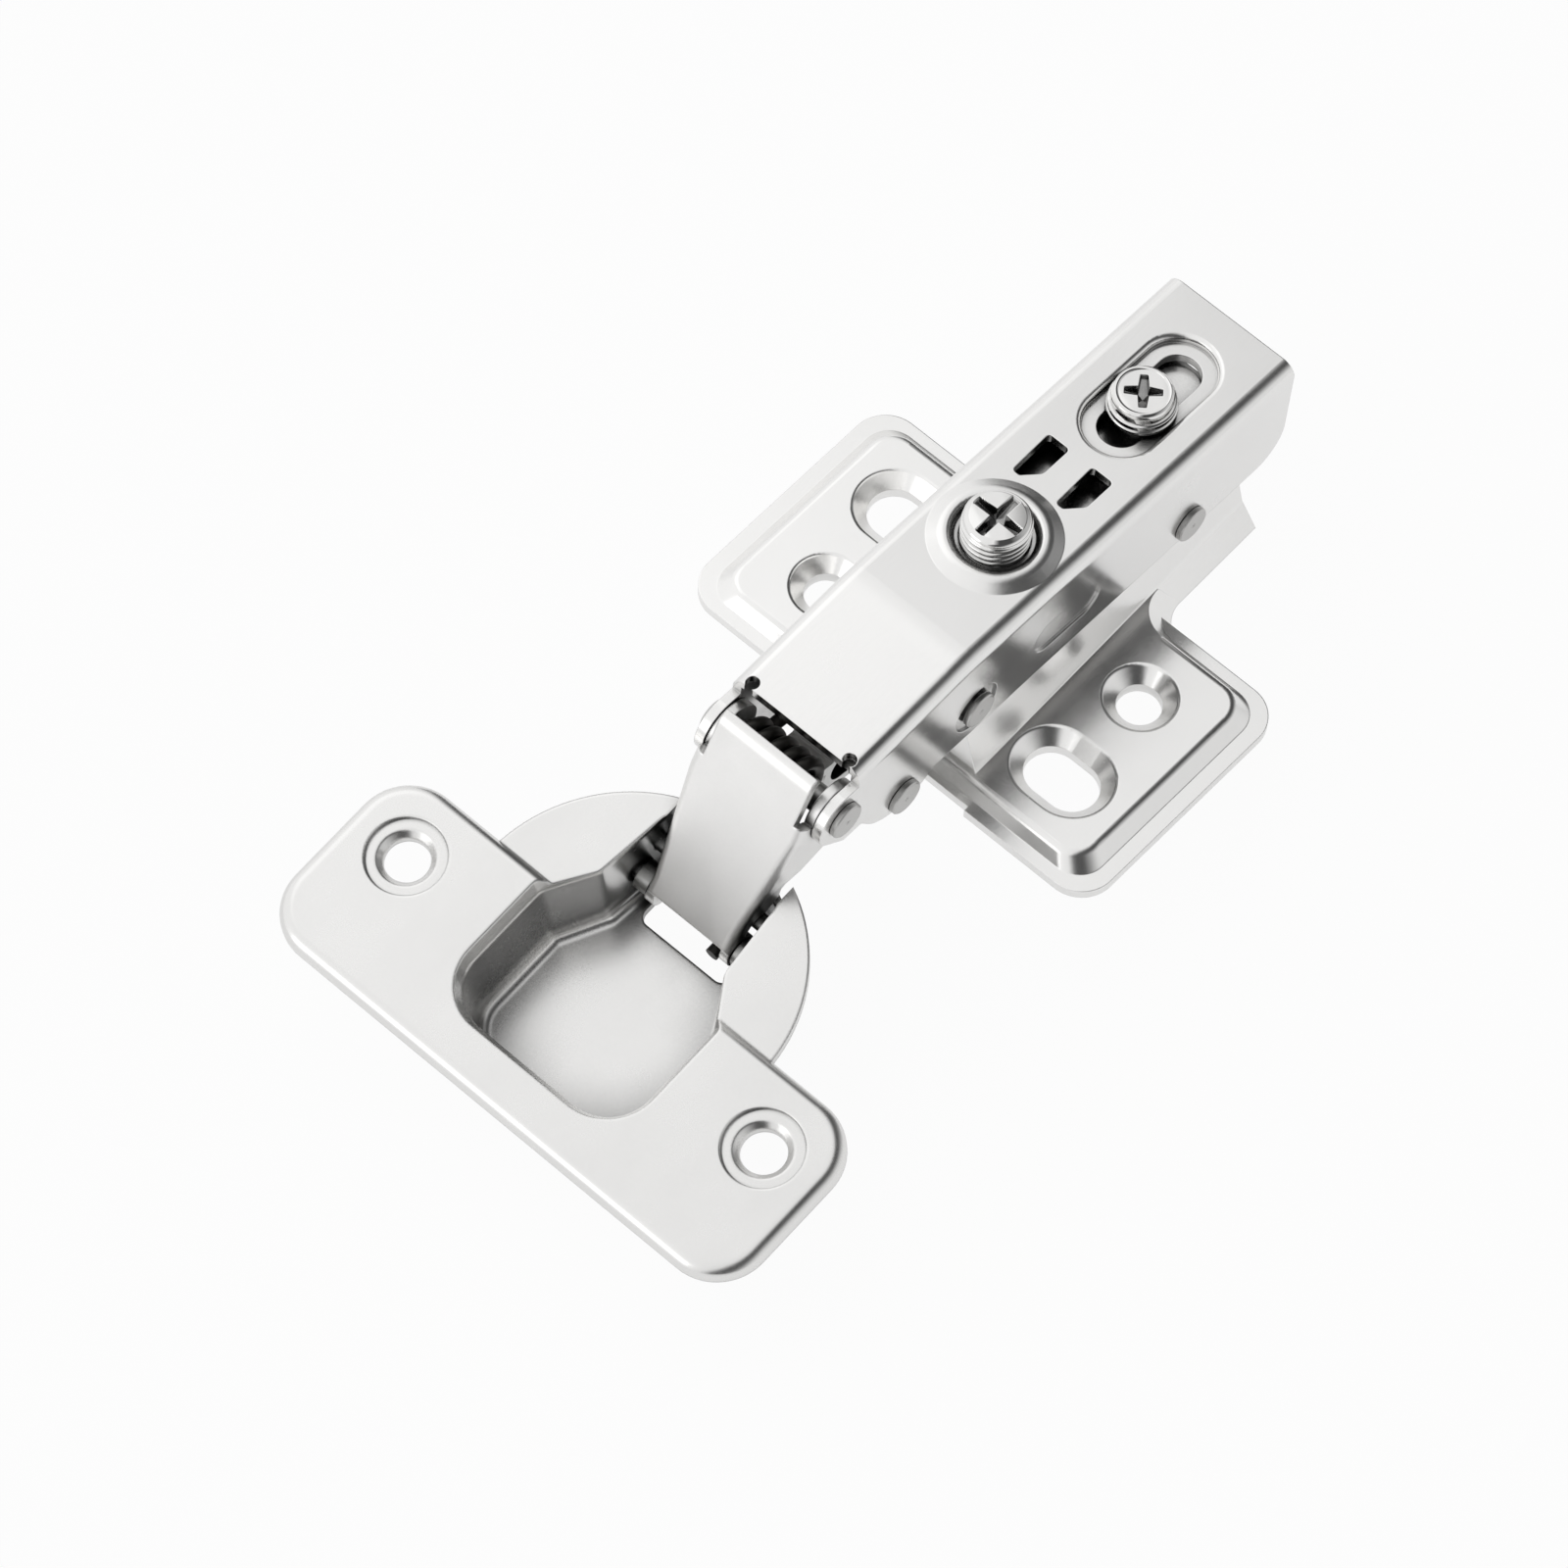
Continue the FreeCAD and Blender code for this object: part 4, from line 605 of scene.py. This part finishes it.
@dataclass
class Studio:
    """The pale floor, the soft lamps, the world and the camera.

    Attributes:
        floor_drop: How far the floor lies under the part, in metres.
        floor_reach: Half the floor's side, in metres.
        paper: The floor's colour.
        white_share: How much of the camera's view of the floor is plain white paper.
        mirrored_share: The same for what metal and glass mirror.
        world_share: How much plain white metal and glass mirror from the studio round the floor.
        bright_side: The direction that the studio brightens towards.
        greys: The studio's (place, grey) stops, from the side away from the bright one to it.
        lamps: The lamps.
        lamp_target: Where the lamps look, in metres.
        camera_place: The camera's place in metres.
        camera_turn: Its XYZ turn in degrees.
        lens: Its focal length in millimetres.
        sensor: The width of its sensor in millimetres.
        clip: The nearest and furthest distance that it sees, in metres.
    """

    floor_drop: float = 0.0004
    floor_reach: float = 3.0
    paper: tuple[float, float, float, float] = (0.9, 0.9, 0.9, 1.0)
    white_share: float = 0.95
    mirrored_share: float = 0.6
    world_share: float = 0.03
    bright_side: Triple = (-0.36, -0.21, 0.16)
    greys: tuple[tuple[float, float], ...] = (
        (0.16, 0.75), (0.28, 0.30), (0.37, 0.04), (0.54, 0.04), (0.585, 0.45), (0.625, 0.90), (0.68, 0.86),
        (0.90, 0.95))
    lamps: tuple[Lamp, ...] = (
        Lamp("key_lamp", (-0.60, 0.20, 0.80), 0.6, 0.25),
        Lamp("front_lamp", (-0.28, -0.80, 0.26), 0.5, 0.45))
    lamp_target: Triple = (0.0, -0.02, 0.01)
    camera_place: Triple = (0.268870, -0.369935, 0.752505)
    camera_turn: Triple = (30.2496, -2.1303, 42.0625)
    lens: float = 197.742
    sensor: float = 36.0
    clip: tuple[float, float] = (0.01, 20.0)

    def build(self, ground: float) -> None:
        """Build the whole studio round the part.

        Args:
            ground: The height of the part's lowest point.
        """
        self.floor(ground - self.floor_drop)
        self.world()
        for lamp in self.lamps:
            lamp.hang(self.lamp_target)
        self.camera()
        bpy.context.scene.view_settings.view_transform = "Standard"
        LOG.info("studio: floor, world, %d lamps and the camera", len(self.lamps))

    def floor(self, height: float) -> None:
        """Lay a pale floor that is white to the camera but keeps the part's shadow.

        It is the square of corners (-1, -1), (1, -1), (1, 1) and (-1, 1) times its reach.

        Args:
            height: The floor's height.
        """
        square = np.array([(-1.0, -1.0, 0.0), (1.0, -1.0, 0.0), (1.0, 1.0, 0.0), (-1.0, 1.0, 0.0)])
        corners = square * self.floor_reach + np.array([0.0, 0.0, height])
        mesh = bpy.data.meshes.new("floor")
        mesh.from_pydata(corners.tolist(), [], [(0, 1, 2, 3)])
        floor = bpy.data.objects.new("floor", mesh)
        bpy.context.collection.objects.link(floor)
        nodes = NodeBuilder(bpy.data.materials.new("floor_paper"))
        paper = nodes.add("BsdfDiffuse", Color=self.paper)
        glow = nodes.add("Emission", Color=WHITE, Strength=1.0)
        seen = nodes.plain_white(self.white_share, self.mirrored_share)
        mix = nodes.feed(nodes.add("MixShader"), seen, paper.outputs[0], glow.outputs[0])
        mesh.materials.append(nodes.finish(mix))
        floor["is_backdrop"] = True

    def world(self) -> None:
        """Surround the part with a studio that is white to the camera and shaded for what metal mirrors.

        A direction's grey is read from the stops at its dot product with the bright side, plus 0.5.
        """
        nodes = NodeBuilder(bpy.data.worlds.new("studio"))
        bpy.context.scene.world = nodes.owner
        direction = nodes.add("TexCoord").outputs["Generated"]
        towards = nodes.feed(nodes.add("VectorMath"), direction, self.bright_side)
        towards.operation = "DOT_PRODUCT"
        ramp = nodes.feed(nodes.add("ValToRGB"), nodes.maths("ADD", towards.outputs["Value"], 0.5))
        stops = ramp.color_ramp.elements
        for position, _ in self.greys[1:-1]:
            stops.new(position)
        for stop, (position, grey) in zip(stops, self.greys):
            stop.position = position
            stop.color = (grey, grey, grey, 1.0)
        mix = nodes.add("Mix")
        mix.data_type = "RGBA"
        colours = (nodes.plain_white(1.0, self.world_share), ramp.outputs["Color"], WHITE)
        for index, value in zip(COLOUR_MIX_INPUTS, colours):
            nodes.fill(mix.inputs[index], value)
        nodes.finish(nodes.add("Background", Color=mix.outputs[COLOUR_MIX_OUTPUT], Strength=1.0))

    def camera(self) -> None:
        """Stand the camera where the photograph was taken from."""
        data = bpy.data.cameras.new("camera")
        data.sensor_width = self.sensor
        data.lens = self.lens
        data.clip_start, data.clip_end = self.clip
        camera = bpy.data.objects.new("camera", data)
        camera.location = self.camera_place
        camera.rotation_euler = Euler([math.radians(angle) for angle in self.camera_turn], "XYZ")
        bpy.context.collection.objects.link(camera)
        bpy.context.scene.camera = camera


PLATE = PlatedSteel("plate_nickel", (0.93, 0.925, 0.915), 0.16, 0.26, Grain.ROLLED, 0.35)
ARM = PlatedSteel("arm_nickel", (0.92, 0.915, 0.905), 0.17, 0.27, Grain.ROLLED, 0.35)
# The cup's painted shade is deep and reaches far, darkening its pocket walls.
CUP = PlatedSteel("cup_nickel", (0.87, 0.865, 0.855), 0.22, 0.30, Grain.DRAWN, 0.14,
                  grain_depth=0.0016, edge_mm=0.45, colour_left_in_painted_shade=0.12, painted_shade_reach_mm=11.0)
LINK = PlatedSteel("link_nickel", (0.90, 0.895, 0.885), 0.27, 0.36, Grain.DRAWN, 0.14,
                   grain_depth=0.0018, edge_mm=0.3)
STRIP = PlatedSteel("inner_link_steel", (0.62, 0.62, 0.61), 0.30, 0.42, Grain.ROLLED, 0.3)
RIVET = PlatedSteel("rivet_steel", (0.60, 0.595, 0.585), 0.28, 0.40, Grain.TURNED, 0.25)
PIN = PlatedSteel("pin_steel", (0.50, 0.50, 0.49), 0.25, 0.35, Grain.TURNED, 0.25)
BUSH = PlatedSteel("bush_steel", (0.42, 0.42, 0.41), 0.3, 0.42, Grain.TURNED, 0.25)
SCREW = PlatedSteel("screw_nickel", (0.86, 0.855, 0.845), 0.05, 0.10, Grain.TURNED, 0.3,
                    grain_depth=0.0012, edge_mm=0.04)
WASHER = PlatedSteel("washer_nickel", (0.80, 0.795, 0.785), 0.14, 0.22, Grain.TURNED, 0.3,
                     grain_depth=0.002, edge_mm=0.06)
WIRE = DarkWire("spring_steel", (0.05, 0.048, 0.045), 0.38)

GROUPS = (
    Dressing("base", {"base_plate": PLATE, "clamp_washer": WASHER}),
    Dressing("arm", {"arm": ARM, "outer_arm_rivet": RIVET, "inner_arm_rivet": RIVET,
                     "stop_rivet": RIVET, "rear_tie_rivet": RIVET}),
    Dressing("links", {"outer_link": LINK, "inner_link": STRIP, "closing_spring": WIRE}),
    Dressing("cup", {"cup": CUP, "outer_cup_pin": PIN, "inner_cup_pin": PIN,
                     "cup_pin_bush_left": BUSH, "cup_pin_bush_right": BUSH}),
)
SCREWS = (
    Screw("side_adjusting_screw", "side_screw", "side_adjuster", SCREW,
          profile=[(0.05, -6.9), (3.0, -6.9), (3.3, -6.6), (3.3, -5.75), (2.2, -5.75), (2.2, -3.1),
                   (3.65, -3.05), (3.65, 3.0), (3.35, 3.45), (2.9, 3.75)],
          thread=(-3.3, 3.35), place=(0.0, 0.0, 23.03), lean=-2.25, dome=0.12, arm_length=4.0,
          arm_width=0.56, arm_taper=0.03, recess_depth=2.1, recess_rise=0.42),
    Screw("arm_clamp_screw", "clamp_screw", "clamp", SCREW,
          profile=[(0.05, 12.4), (1.6, 12.4), (2.0, 12.8), (2.0, 22.32), (3.55, 22.3), (3.55, 22.9),
                   (3.3, 23.02), (3.26, 23.9), (3.12, 24.3), (2.86, 24.5), (2.66, 24.44), (2.6, 24.36)],
          thread=(12.4, 19.5), place=(0.0, 22.6, 0.0), dome=0.06, arm_length=1.95, arm_width=0.6,
          arm_taper=0.12, recess_depth=1.8, recess_rise=0.55, recess_turn=38.0),
)


def main() -> None:
    """Dress the hinge and build the studio."""
    logging.basicConfig(level=logging.INFO, format="%(message)s")
    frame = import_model()
    low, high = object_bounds()
    for group in GROUPS:
        group.dress(frame["nodes"])
    for screw in SCREWS:
        screw.build()
    Studio().build(float(low[2]))


if __name__ == "__main__":
    main()
